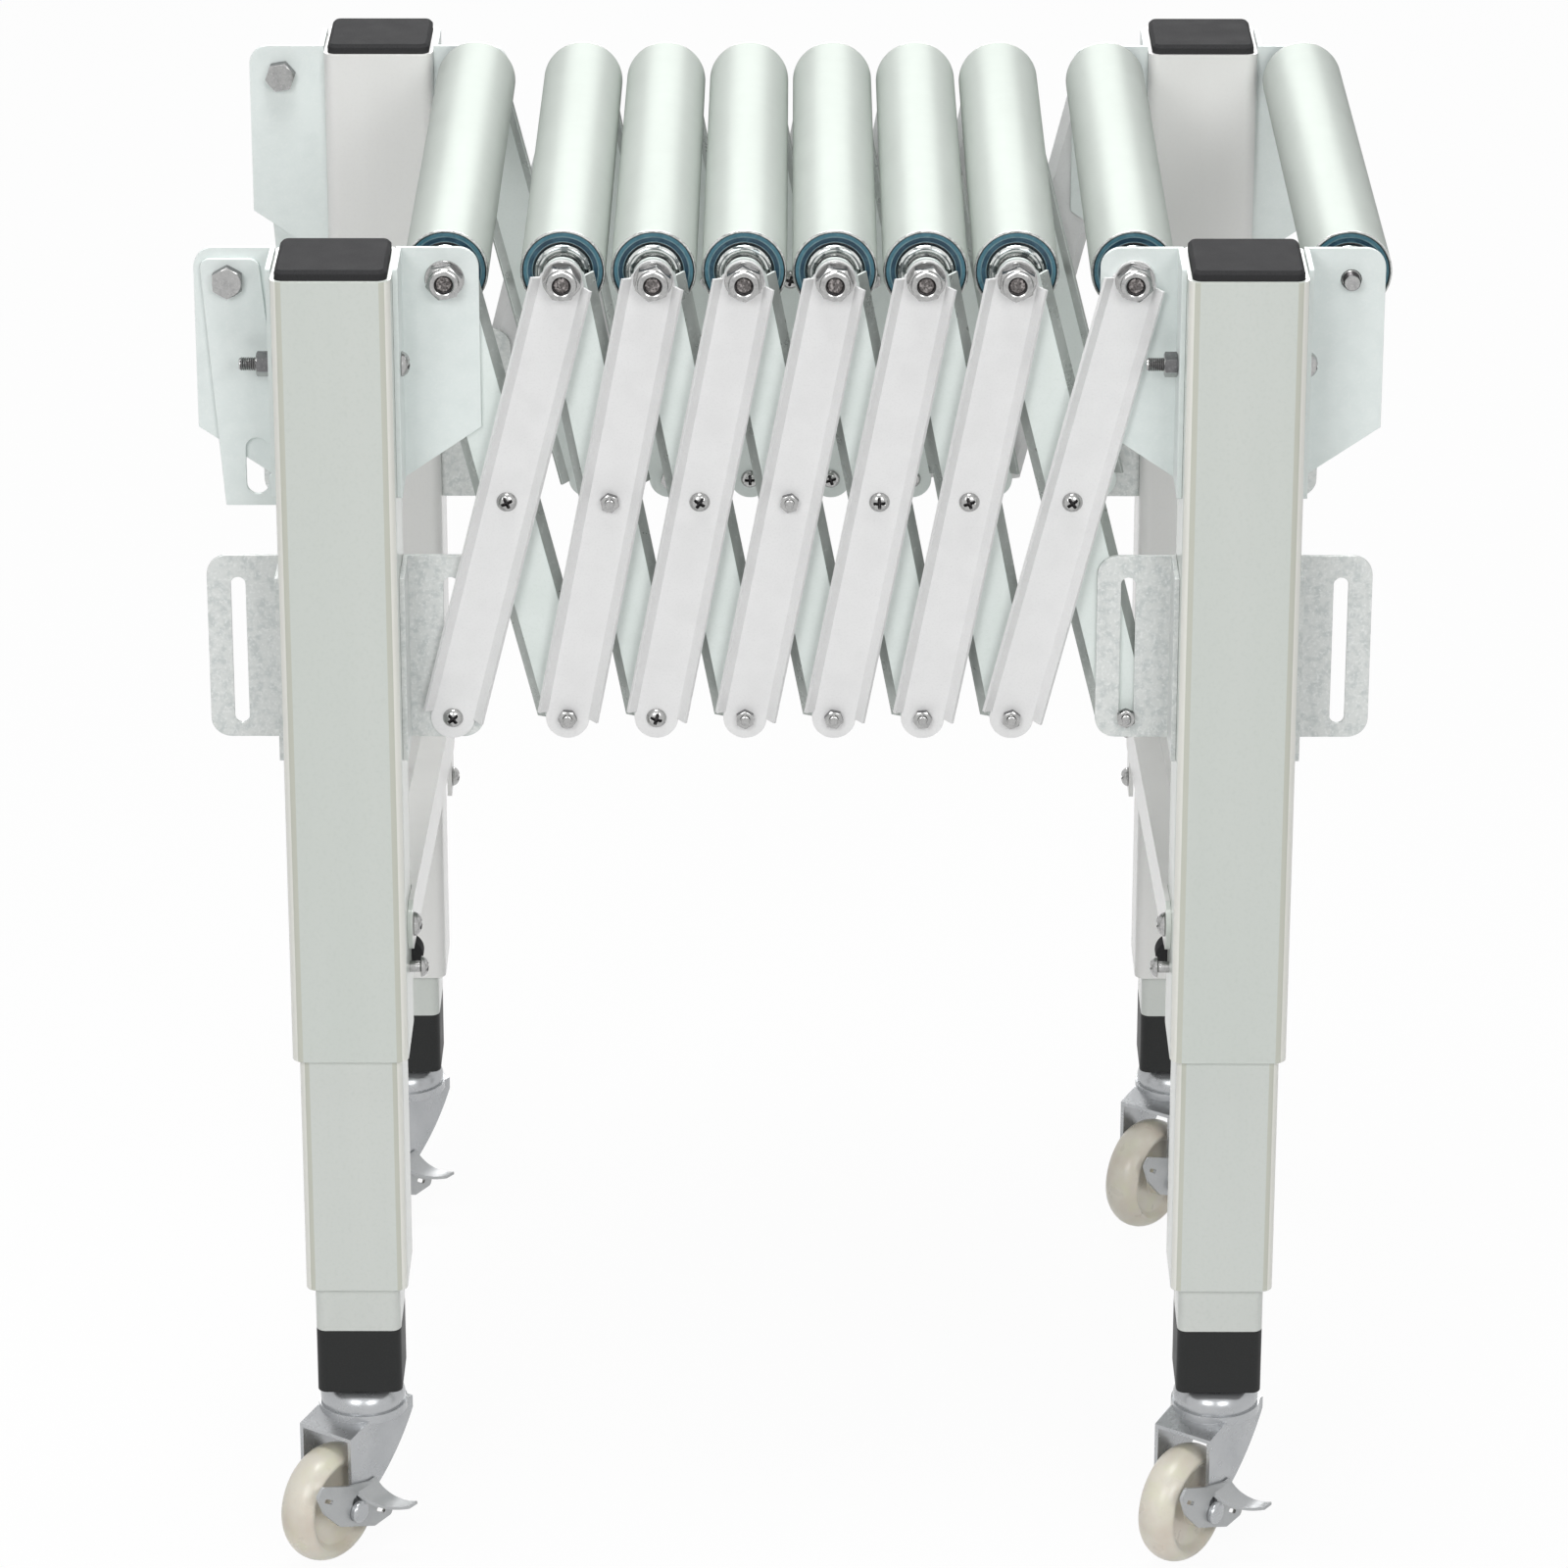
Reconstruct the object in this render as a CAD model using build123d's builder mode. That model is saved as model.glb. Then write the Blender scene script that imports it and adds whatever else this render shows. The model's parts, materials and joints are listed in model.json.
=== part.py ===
from build123d import *
import os
from math import atan2, cos, degrees, hypot, radians, sin, tan

os.makedirs("parts", exist_ok=True)

# A short section of flexible gravity roller conveyor, pushed together, on four telescopic legs.
# All lengths are in millimetres. X runs along the conveyor, Y across it from the near side to
# the far side, and Z is up. The origin is on the floor, midway between the four legs.

# Clearances
running = 0.06
seat = 0.1
slide_gap = 0.3
layer_gap = 0.2
overrun = 2.0

# Stack of a caster from the floor up: wheel, gap, fork crown, swivel race and foot plate
wheel_radius = 37.5
wheel_gap = 14.0
fork_sheet = 2.5
race_rise = 15.9
race_plate_height = 3.2
fork_crown_z = 2 * wheel_radius + wheel_gap
race_top = fork_crown_z + fork_sheet + race_rise
caster_height = race_top + slide_gap + race_plate_height + seat

# Legs: three square tubes, one in another, at the four corners
leg_spacing_x = 528.0
leg_behind_bracket = 24.3
outer_size = 70.0
outer_wall = 2.5
outer_corner = 8.0
outer_length = 492.0
mid_size = 62.0
mid_wall = 2.5
mid_corner = 7.0
mid_exposed = 155.0
mid_overlap = 70.0
inner_size = 52.0
inner_wall = 2.0
inner_corner = 6.0
inner_exposed = 30.0
inner_overlap = 170.0
guide_length = 36.0
guide_recess = 1.0
plug_collar = 42.0
plug_spigot = 30.0

cap_rise = 6.0
cap_depth = 16.0
cap_bevel = 2.0

mid_bottom = caster_height + plug_collar + inner_exposed
outer_bottom = mid_bottom + mid_exposed
leg_top = outer_bottom + outer_length
leg_x = leg_spacing_x / 2
leg_side_x = leg_x - outer_size / 2

# Lattice of crossed bars. The two end cells are wider than the five between them.
axle_below_leg_top = 16.0
axle_to_leg = 63.0
cell_count = 7
end_cell = 68.5
half_height = 137.0
axle_radius = 6.0
pivot_radius = 3.0
closure_clearance = 1.4
bar_face = 26.0
bar_sheet = 2.0
bar_flange = 5.5
flange_stop = 1.5

axle_z = leg_top - axle_below_leg_top
mid_pivot_z = axle_z - half_height
base_pivot_z = axle_z - 2 * half_height
first_axle_x = -leg_x + axle_to_leg
lattice_span = -2 * first_axle_x
plain_cell = (lattice_span - 2 * end_cell) / (cell_count - 2)
cells = [end_cell] + [plain_cell] * (cell_count - 2) + [end_cell]
axle_x = [first_axle_x]
for cell in cells:
    axle_x.append(axle_x[-1] + cell)

# Layers across the conveyor, as distances from its middle plane: roller end, inner bar,
# bracket or washer, outer bar
roller_length = 400.0
hub_rise = 2.5
inner_bar_offset = 10.5
bracket_sheet = 3.0

roller_end = roller_length / 2
inner_bar_face = roller_end + inner_bar_offset
inner_bar_back = inner_bar_face - bar_sheet
bracket_back = inner_bar_face + layer_gap
leg_y = bracket_back + leg_behind_bracket
bracket_face = bracket_back + bracket_sheet
outer_bar_back = bracket_face + layer_gap
outer_bar_face = outer_bar_back + bar_sheet

# Rollers
roller_radius = 25.0
roller_wall = 1.5
seal_recess = 1.5
seal_thickness = 8.0
hub_radius = 17.0
hub_length = 14.0
hub_neck_radius = 9.5
spacer_radius = 9.0

# Fasteners
washer_radius = 11.5
washer_sheet = 1.5
axle_nut_flats = 19.0
axle_nut_height = 8.0
collar_radius = 8.2
collar_height = 3.0
axle_recess = 1.5
pivot_head_radius = 6.0
pivot_head_height = 3.6
pivot_nut_flats = 10.0
pivot_nut_height = 4.6
pivot_thread_end = 2.4
pivot_washer_radius = 8.0
cross_width = 1.3
cross_length = 6.4
cross_depth = 1.8
nut_chamfer = 0.7
leg_bolt_radius = 4.0
leg_bolt_head_radius = 7.5
leg_bolt_head_height = 5.0
leg_nut_flats = 13.0
leg_nut_height = 8.0
leg_bolt_tail = 10.0
hook_bolt_flats = 17.0
hook_bolt_head = 6.5
coupling_stud_radius = 5.0
coupling_stud_length = 8.0

# Brackets
bracket_flange = 42.0
bracket_edge = 20.0
bracket_rise = 19.0
bracket_corner = 12.0
bracket_shoulder = 91.0
bracket_foot = 122.0
leg_bolt_drop = 61.0
slot_width = 8.8
slot_length = 93.0
slot_bush_gap = 0.2
slot_bracket_edge = 18.5
slot_bracket_top_margin = 13.5
slot_bracket_bottom_margin = 8.5

# Coupling hook, measured from the bolt that it hangs on
hook_sheet = 3.0
hook_rise = 13.0
hook_drop = 139.0
hook_left_top = 16.5
hook_left_bottom = 5.0
hook_right_top = 18.0
hook_right = 24.5
hook_shoulder = 52.0
hook_throat_width = 13.0
hook_throat_floor = 7.0
hook_throat_height = 35.0
hook_lip_width = 4.0
hook_lip_height = 12.0
hook_corner = 6.0

# Brace across each end, from a near leg down to a far leg
brace_sheet = 3.0
brace_width = 30.0
brace_shelf = 14.0
brace_near_rise = 76.0
brace_far_rise = 16.0
brace_tab_drop = 36.0
brace_tab_width = 26.0
lock_screw_rise = 48.0
lock_screw_drop = 11.0
lock_screw_radius = 3.5
lock_screw_reach = 7.0
lock_head_radius = 6.5
lock_head_height = 4.5
bumper_radius = 10.0
bumper_depth = 12.0
bumper_rise = 7.0

# Swivel casters. In its own frame a caster trails along +X from its swivel axis.
caster_turn = 235.0
trail = 36.0
wheel_width = 25.0
wheel_shoulder = 6.0
wheel_dish = 4.0
wheel_rim = 8.0
wheel_hub_radius = 12.0
wheel_hub_width = 33.0
wheel_axle_radius = 4.0
fork_width = 40.0
fork_lip_drop = 5.0
fork_front = 38.0
fork_back = 24.0
fork_back_drop = 8.0
fork_belly = 17.0
fork_eye_radius = 11.0
race_radius = 27.5
race_step_width = 1.5
race_step_height = 3.0
race_top_radius = 20.0
race_inner_radius = 15.5
race_hollow = 2.5
race_plate_radius = 13.5
stem_radius = 5.0
stem_reach = 24.0
stem_head_radius = 8.0
stem_head_height = 3.2
rivet_radius = 7.0
rivet_height = 4.0
pedal_sheet = 2.0
pedal_corner = 3.0
pedal_relief = 4.6
pedal_relief_rise = 6.0
pedal_slot_width = 2.6
pedal_slot_length = 9.0
tongue_reach = 27.0
tongue_root = 20.0
tongue_tip = 8.0
tongue_sweep = 14.0
tongue_fall = 13.0
tongue_bend = 8.0
tongue_bend_fall = 9.5

# Outline of the brake pedal round the wheel axle, as shares of the wheel's radius
pedal_outline_shares = (
    (0.19, 0.53), (0.85, 0.80), (1.00, 0.67), (0.83, 0.29), (0.45, -0.10),
    (-0.45, -0.48), (-0.90, -0.45), (-0.96, -0.24), (-0.43, 0.37),
)
pedal_slot_shares = ((0.72, 0.48), (-0.62, -0.26))
tongue_root_shares = (-0.27, 0.38)


def outward(x, y, z, side):
    """A place whose local Z points away from the middle plane, on the near (-1) or far (1) side."""
    return Location(Plane(origin=(x, side * y, z), x_dir=(1, 0, 0), z_dir=(0, side, 0)))


def hex_prism(flats, height, radius):
    """A chamfered hexagon with a round hole, standing on its local XY plane."""
    with BuildPart() as nut:
        with BuildSketch():
            RegularPolygon(radius=flats / 2, side_count=6, major_radius=False)
            if radius:
                Circle(radius, mode=Mode.SUBTRACT)
        extrude(amount=height)
        chamfer(nut.faces().sort_by(Axis.Z)[-1].outer_wire().edges(), length=nut_chamfer)
    return nut.part


def ring(radius, bore, height):
    """A round spacer or washer standing on its local XY plane."""
    with BuildPart() as washer:
        with BuildSketch():
            Circle(radius)
            Circle(bore, mode=Mode.SUBTRACT)
        extrude(amount=height)
    return washer.part


def cross_head_bolt(length, radius, head_radius, head_height):
    """A domed head above its local XY plane with a cross recess, and a shank below it."""
    with BuildPart() as bolt:
        Cylinder(radius, length, align=(Align.CENTER, Align.CENTER, Align.MAX))
        Cylinder(head_radius, head_height, align=(Align.CENTER, Align.CENTER, Align.MIN))
        fillet(bolt.faces().sort_by(Axis.Z)[-1].edges(), radius=head_height / 2)
        with Locations((0, 0, head_height)):
            Box(cross_length, cross_width, 2 * cross_depth, mode=Mode.SUBTRACT)
            Box(cross_width, cross_length, 2 * cross_depth, mode=Mode.SUBTRACT)
    return bolt.part


def square_tube(size, wall, corner, length):
    """A square tube with rounded corners, standing on its local XY plane."""
    with BuildPart() as tube:
        with BuildSketch():
            RectangleRounded(size, size, corner)
            RectangleRounded(size - 2 * wall, size - 2 * wall, corner - wall, mode=Mode.SUBTRACT)
        extrude(amount=length)
    return tube.part


def guide_sleeve(tube_size, tube_wall, tube_corner, slider_size, slider_corner):
    """The plastic liner at the mouth of a tube, in which the next tube slides."""
    liner = tube_size - 2 * tube_wall - 2 * seat
    bore = slider_size + 2 * slide_gap
    with BuildPart() as guide:
        with BuildSketch():
            RectangleRounded(liner, liner, tube_corner - tube_wall)
            RectangleRounded(bore, bore, slider_corner + slide_gap, mode=Mode.SUBTRACT)
        extrude(amount=guide_length)
    return guide.part


def bar(middle_x, lean, half_length, side, contact_y, flange_way, holes):
    """One lattice bar: a flat face with round ends and two splayed flanges.

    The face lies at contact_y from the middle plane, and the flanges point outward (1) or
    inward (-1). holes lists pairs of a place along the bar and a radius.
    """
    along = Vector(sin(lean), 0, cos(lean))
    away = Vector(0, flange_way * side, 0)
    middle = Vector(middle_x, side * contact_y, mid_pivot_z)
    flange_half = half_length - flange_stop
    half_face = bar_face / 2
    bend = bar_sheet * tan(radians(22.5))
    tip = bar_sheet * sin(radians(45))
    with BuildPart() as piece:
        with BuildSketch(Plane(origin=middle, x_dir=along, z_dir=away)):
            SlotCenterToCenter(2 * half_length, bar_face)
            for place, radius in holes:
                with Locations((place, 0)):
                    Circle(radius, mode=Mode.SUBTRACT)
        extrude(amount=bar_sheet)
        with BuildSketch(Plane(origin=middle - along * flange_half, x_dir=along.cross(away), z_dir=along)):
            for edge in (-1, 1):
                with BuildLine():
                    Polyline(
                        (edge * half_face, 0),
                        (edge * (half_face + bar_flange), -bar_flange),
                        (edge * (half_face + bar_flange - tip), -bar_flange - tip),
                        (edge * (half_face - bend), -bar_sheet),
                        close=True,
                    )
                make_face()
        extrude(amount=2 * flange_half)
    return piece.part


def upper_bracket():
    """The angle plate beside a leg, for a leg on its -X side.

    Its local origin is the axle hole, on the back of the plate, with Z outward.
    """
    to_leg = axle_to_leg - outer_size / 2 - seat
    with BuildPart() as bracket:
        with BuildSketch():
            with BuildLine():
                Polyline(
                    (-to_leg, bracket_rise),
                    (bracket_edge, bracket_rise),
                    (bracket_edge, -bracket_shoulder),
                    (-to_leg + bracket_sheet, -bracket_foot),
                    (-to_leg, -bracket_foot),
                    close=True,
                )
            make_face()
            fillet(vertices().group_by(Axis.X)[-1].sort_by(Axis.Y)[-1], radius=bracket_corner)
            Circle(axle_radius + running, mode=Mode.SUBTRACT)
        extrude(amount=bracket_sheet)
        with BuildSketch(Plane.YZ.offset(-to_leg)):
            with Locations(((bracket_rise - bracket_foot) / 2, bracket_flange / 2)):
                RectangleRounded(bracket_rise + bracket_foot, bracket_flange, bracket_sheet / 2)
            with Locations((-leg_bolt_drop + axle_below_leg_top, leg_y - bracket_back)):
                Circle(leg_bolt_radius + seat, mode=Mode.SUBTRACT)
        extrude(amount=bracket_sheet)
    return bracket.part


def slotted_bracket():
    """The lower angle plate with an upright slot, for a leg on its -X side.

    Its local origin is the middle of the slot's bottom round, on the back of the plate.
    """
    to_leg = axle_to_leg - outer_size / 2 - seat
    travel = slot_length - slot_width
    top = travel + slot_width / 2 + slot_bracket_top_margin
    bottom = -slot_width / 2 - slot_bracket_bottom_margin
    with BuildPart() as bracket:
        with BuildSketch():
            with Locations(((slot_bracket_edge - to_leg) / 2, (top + bottom) / 2)):
                Rectangle(slot_bracket_edge + to_leg, top - bottom)
            fillet(vertices().group_by(Axis.X)[-1], radius=bracket_corner)
            with Locations((0, travel / 2)):
                SlotCenterToCenter(travel, slot_width, rotation=90, mode=Mode.SUBTRACT)
        extrude(amount=bracket_sheet)
        with BuildSketch(Plane.YZ.offset(-to_leg)):
            with Locations(((top + bottom) / 2, bracket_flange / 2)):
                Rectangle(top - bottom, bracket_flange)
        extrude(amount=bracket_sheet)
    return bracket.part


def place_bracket(piece, leg, hand, side, z):
    """A bracket put on the +X (1) or -X (-1) face of the leg at leg, on the near or far side."""
    upright = Plane(
        origin=(leg + hand * axle_to_leg, side * bracket_back, z), x_dir=(1, 0, 0), z_dir=(0, -1, 0)
    )
    placed = piece.moved(Location(upright))
    if hand < 0:
        placed = placed.mirror(Plane(origin=(leg + hand * axle_to_leg, 0, 0), z_dir=(1, 0, 0)))
    if side > 0:
        placed = placed.mirror(Plane(origin=(0, bracket_back, 0), z_dir=(0, 1, 0)))
    return placed


# Pieces that repeat, each in its own frame
axle_nut = hex_prism(axle_nut_flats, axle_nut_height, axle_radius + seat)
with BuildPart() as axle_nut_set:
    add(ring(washer_radius, axle_radius + seat, washer_sheet))
    with Locations((0, 0, washer_sheet)):
        add(axle_nut)
    with Locations((0, 0, washer_sheet + axle_nut_height)):
        add(ring(collar_radius, axle_radius + seat, collar_height))
nut_stack = washer_sheet + axle_nut_height + collar_height - axle_recess

pivot_nut = hex_prism(pivot_nut_flats, pivot_nut_height, pivot_radius + seat)
leg_nut = hex_prism(leg_nut_flats, leg_nut_height, leg_bolt_radius + seat)
middle_washer = ring(pivot_washer_radius, pivot_radius + seat, bracket_sheet)
slot_bush = ring(slot_width / 2 - slot_bush_gap, pivot_radius + seat, bracket_sheet)


def roller_unit():
    """A roller on the Y axis: tube, two seal rings and two domed bearing hubs."""
    with BuildPart() as unit:
        with BuildSketch(Plane.XZ.offset(-roller_end)):
            Circle(roller_radius)
            Circle(roller_radius - roller_wall, mode=Mode.SUBTRACT)
        extrude(amount=roller_length)
        for side in (-1, 1):
            with Locations(outward(0, roller_end - seal_recess - seal_thickness, 0, side)):
                add(ring(roller_radius - roller_wall - seat, hub_radius + seat, seal_thickness))
            with BuildSketch(Plane.XY):
                with BuildLine():
                    crest = (hub_radius + hub_neck_radius) / 2
                    low = side * (roller_end - seal_recess)
                    deep = side * (roller_end + hub_rise - hub_length)
                    Polyline(
                        (hub_radius, low), (hub_radius, deep),
                        (axle_radius + running, deep), (axle_radius + running, side * roller_end),
                        (hub_neck_radius, side * roller_end),
                    )
                    ThreePointArc(
                        (hub_neck_radius, side * roller_end),
                        (crest, side * (roller_end + hub_rise)),
                        (hub_radius, low),
                    )
                make_face()
            revolve(axis=Axis.Y)
    return unit.part


def pivot_fastener(x, z, side, head_outside, outside_face, inside_face, between):
    """Bolt, nut and middle ring of one bar pivot, as three solids."""
    tail = pivot_nut_height + pivot_thread_end
    grip = outside_face - inside_face + 2 * seat
    bolt = cross_head_bolt(grip + tail, pivot_radius, pivot_head_radius, pivot_head_height)
    head_y = outside_face + seat if head_outside else inside_face - seat
    nut_y = inside_face - seat if head_outside else outside_face + seat
    way = side if head_outside else -side
    with BuildPart() as fastener:
        with Locations(Location(Plane(origin=(x, side * head_y, z), x_dir=(1, 0, 0), z_dir=(0, way, 0)))):
            add(bolt)
        with Locations(Location(Plane(origin=(x, side * nut_y, z), x_dir=(1, 0, 0), z_dir=(0, -way, 0)))):
            add(pivot_nut)
        with Locations(outward(x, bracket_back, z, side)):
            add(between)
    return fastener.part


def axle(x, half_length):
    """The round axle of one roller."""
    with BuildPart() as rod:
        with Locations(Location((x, 0, axle_z), (90, 0, 0))):
            Cylinder(axle_radius, 2 * half_length)
        chamfer(rod.edges().filter_by(GeomType.CIRCLE), length=nut_chamfer)
    return rod.part


# Lattice bars, near and far, with the axles and pivot bolts that ride on the outer bars
heads_outside = [True, False, True, False, True, True, True]
base_heads_outside = [True, False, True, False, False, False, False]
closure_radius = pivot_radius + closure_clearance
for k in range(cell_count):
    left_x = axle_x[k]
    right_x = axle_x[k + 1]
    middle_x = (left_x + right_x) / 2
    lean = atan2(right_x - left_x, 2 * half_height)
    half_length = hypot(right_x - left_x, 2 * half_height) / 2
    last = k == cell_count - 1
    bolt_hole = pivot_radius + running
    axle_hole = (half_length, axle_radius + running)
    inner_holes = [(-half_length, bolt_hole if last else closure_radius), (0, bolt_hole), axle_hole]
    outer_holes = [(-half_length, bolt_hole), (0, bolt_hole), axle_hole]

    with BuildPart() as inner_bars:
        for side in (-1, 1):
            add(bar(middle_x, -lean, half_length, side, inner_bar_face, -1, inner_holes))
            if last:
                add(pivot_fastener(
                    right_x, base_pivot_z, side, False, bracket_face, inner_bar_back, slot_bush,
                ))
    inner_bars.part.label = f"inner_bars_{k + 1}"
    export_step(inner_bars.part, f"parts/inner_bars_{k + 1}.step")

    with BuildPart() as outer_bars:
        for side in (-1, 1):
            add(bar(middle_x, lean, half_length, side, outer_bar_back, 1, outer_holes))
    outer_bars.part.label = f"outer_bars_{k + 1}"
    export_step(outer_bars.part, f"parts/outer_bars_{k + 1}.step")

    hub_face = roller_end + hub_rise + slide_gap
    inner_stop = bracket_back if last else inner_bar_back
    with BuildPart() as axle_set:
        add(axle(right_x, outer_bar_face + seat + nut_stack))
        for side in (-1, 1):
            with Locations(outward(right_x, outer_bar_face + seat, axle_z, side)):
                add(axle_nut_set.part)
            with Locations(outward(right_x, hub_face, axle_z, side)):
                add(ring(spacer_radius, axle_radius + seat, inner_stop - seat - hub_face))
            if not last:
                with Locations(outward(right_x, bracket_back, axle_z, side)):
                    add(ring(spacer_radius, axle_radius + seat, bracket_sheet))
            add(pivot_fastener(
                middle_x, mid_pivot_z, side, heads_outside[k], outer_bar_face, inner_bar_back, middle_washer,
            ))
            behind = (bracket_back, slot_bush) if k == 0 else (inner_bar_back, middle_washer)
            add(pivot_fastener(left_x, base_pivot_z, side, base_heads_outside[k], outer_bar_face, *behind))
    axle_set.part.label = f"axle_set_{k + 1}"
    export_step(axle_set.part, f"parts/axle_set_{k + 1}.step")


def side_bolt(x, y, z, way, length, radius, head_radius, head_height):
    """A bolt along X whose head seat is at x, with the head toward way."""
    bolt = cross_head_bolt(length, radius, head_radius, head_height)
    return bolt.moved(Location(Plane(origin=(x, y, z), x_dir=(0, 1, 0), z_dir=(way, 0, 0))))


def side_nut(x, y, z, way):
    """A hexagon nut along X whose seat is at x, standing out toward way."""
    return leg_nut.moved(Location(Plane(origin=(x, y, z), x_dir=(0, 1, 0), z_dir=(way, 0, 0))))


# Brace and leg fastener places that several pieces share
brace_near_z = outer_bottom + brace_near_rise
brace_far_z = outer_bottom + brace_far_rise
lock_near_z = outer_bottom + lock_screw_rise
lock_far_z = outer_bottom - lock_screw_drop
brace_tab_y = leg_y - outer_size / 2 + brace_tab_width / 2
leg_bolt_z = leg_top - leg_bolt_drop
ninth_axle_x = leg_x + axle_to_leg


def end_frame(hand):
    """Two outer leg tubes and the brace between them, at the -X (-1) or +X (1) end."""
    slope = atan2(brace_far_z - brace_near_z, 2 * leg_y)
    inner_x = hand * (leg_side_x - seat)
    shelf_y = leg_y - outer_size / 2 - slide_gap
    shelf_top = brace_width / 2 / cos(slope)
    shelf_low = shelf_top - brace_sheet / cos(slope)
    middle_z = (brace_near_z + brace_far_z) / 2
    shelf_rise = shelf_y * tan(slope)
    tube = square_tube(outer_size, outer_wall, outer_corner, outer_length)
    with BuildPart() as frame:
        for side in (-1, 1):
            with Locations((hand * leg_x, side * leg_y, outer_bottom)):
                add(tube)
            with Locations(Location((hand * leg_x, side * leg_y, leg_bolt_z), (0, 90, 0))):
                Cylinder(leg_bolt_radius + seat, outer_size + overrun, mode=Mode.SUBTRACT)
        for y, z, radius in (
            (-leg_y, brace_near_z, leg_bolt_radius),
            (-leg_y, lock_near_z, lock_screw_radius),
            (leg_y, brace_far_z, leg_bolt_radius),
        ):
            with Locations(Location((hand * leg_side_x, y, z), (0, 90, 0))):
                Cylinder(radius + seat, 2 * outer_wall + overrun, mode=Mode.SUBTRACT)
        with BuildSketch(Plane.YZ.offset(inner_x)):
            with Locations(Location((0, middle_z, 0), (0, 0, degrees(slope)))):
                SlotCenterToCenter(2 * leg_y / cos(slope), brace_width)
            with Locations((brace_tab_y, brace_far_z - brace_tab_drop / 2)):
                Rectangle(brace_tab_width, brace_tab_drop)
            with Locations((-leg_y, brace_near_z), (leg_y, brace_far_z)):
                Circle(leg_bolt_radius + seat, mode=Mode.SUBTRACT)
            with Locations((brace_tab_y, lock_far_z)):
                Circle(lock_screw_radius + seat, mode=Mode.SUBTRACT)
        extrude(amount=-hand * brace_sheet)
        with BuildSketch(Plane.YZ.offset(inner_x)):
            with BuildLine():
                Polyline(
                    (-shelf_y, middle_z - shelf_rise + shelf_low),
                    (-shelf_y, middle_z - shelf_rise + shelf_top),
                    (shelf_y, middle_z + shelf_rise + shelf_top),
                    (shelf_y, middle_z + shelf_rise + shelf_low),
                    close=True,
                )
            make_face()
        extrude(amount=hand * brace_shelf)
    return frame.part


def caps_and_guides(hand):
    """End caps, mouth liners and the brace bumper of one end frame, all plastic."""
    cap_size = outer_size - 2 * outer_wall - 2 * seat
    guide = guide_sleeve(outer_size, outer_wall, outer_corner, mid_size, mid_corner)
    bumper_y = -leg_y + 2 * lock_head_radius + bumper_depth / 2
    bumper_z = lock_near_z - lock_head_radius + bumper_radius / 2
    bumper_plane = Plane(
        origin=(hand * (leg_side_x - seat), bumper_y, bumper_z), x_dir=(-hand, 0, 0), z_dir=(0, 1, 0)
    )
    with BuildPart() as plastics:
        for side in (-1, 1):
            with BuildSketch(Plane.XY.offset(leg_top - cap_depth)):
                with Locations((hand * leg_x, side * leg_y)):
                    RectangleRounded(cap_size, cap_size, outer_corner - outer_wall)
            extrude(amount=cap_depth + cap_rise)
        chamfer(plastics.faces().filter_by(Axis.Z).group_by(Axis.Z)[-1].edges(), length=cap_bevel)
        for side in (-1, 1):
            with Locations((hand * leg_x, side * leg_y, outer_bottom + guide_recess)):
                add(guide)
        with BuildSketch(bumper_plane):
            with BuildLine():
                ThreePointArc((0, -bumper_radius), (bumper_rise, 0), (0, bumper_radius))
                Line((0, bumper_radius), (0, -bumper_radius))
            make_face()
        extrude(amount=bumper_depth)
    return plastics.part


def brackets(hand):
    """The upper and slotted brackets on both faces of both legs of one end frame."""
    upper = upper_bracket()
    slotted = slotted_bracket()
    with BuildPart() as plates:
        for side in (-1, 1):
            for face in (-1, 1):
                add(place_bracket(upper, hand * leg_x, face, side, axle_z))
                add(place_bracket(slotted, hand * leg_x, face, side, base_pivot_z))
    return plates.part


def leg_fasteners(hand):
    """The bolts of one end frame: bracket bolts, brace bolts and height lock screws."""
    flange_face = outer_size / 2 + seat + bracket_sheet + seat
    bolt_length = 2 * flange_face + leg_nut_height + leg_bolt_tail
    plate_face = leg_side_x - seat - brace_sheet - seat
    brace_grip = brace_sheet + 2 * seat + outer_wall - seat
    near_reach = leg_side_x - lock_screw_reach
    mid_face = leg_x - mid_size / 2 - slide_gap
    head = (lock_screw_radius, lock_head_radius, lock_head_height)
    with BuildPart() as bolts:
        for side in (-1, 1):
            y = side * leg_y
            add(side_bolt(
                hand * leg_x + flange_face, y, leg_bolt_z, 1, bolt_length,
                leg_bolt_radius, leg_bolt_head_radius, leg_bolt_head_height,
            ))
            add(side_nut(hand * leg_x - flange_face, y, leg_bolt_z, -1))
        for y, z in ((-leg_y, brace_near_z), (leg_y, brace_far_z)):
            add(side_bolt(
                hand * plate_face, y, z, -hand, brace_grip,
                leg_bolt_radius, leg_bolt_head_radius, leg_bolt_head_height,
            ))
        add(side_bolt(hand * near_reach, -leg_y, lock_near_z, -hand, mid_face - near_reach, *head))
        add(side_bolt(hand * plate_face, brace_tab_y, lock_far_z, -hand, mid_face - plate_face, *head))
    return bolts.part


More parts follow.
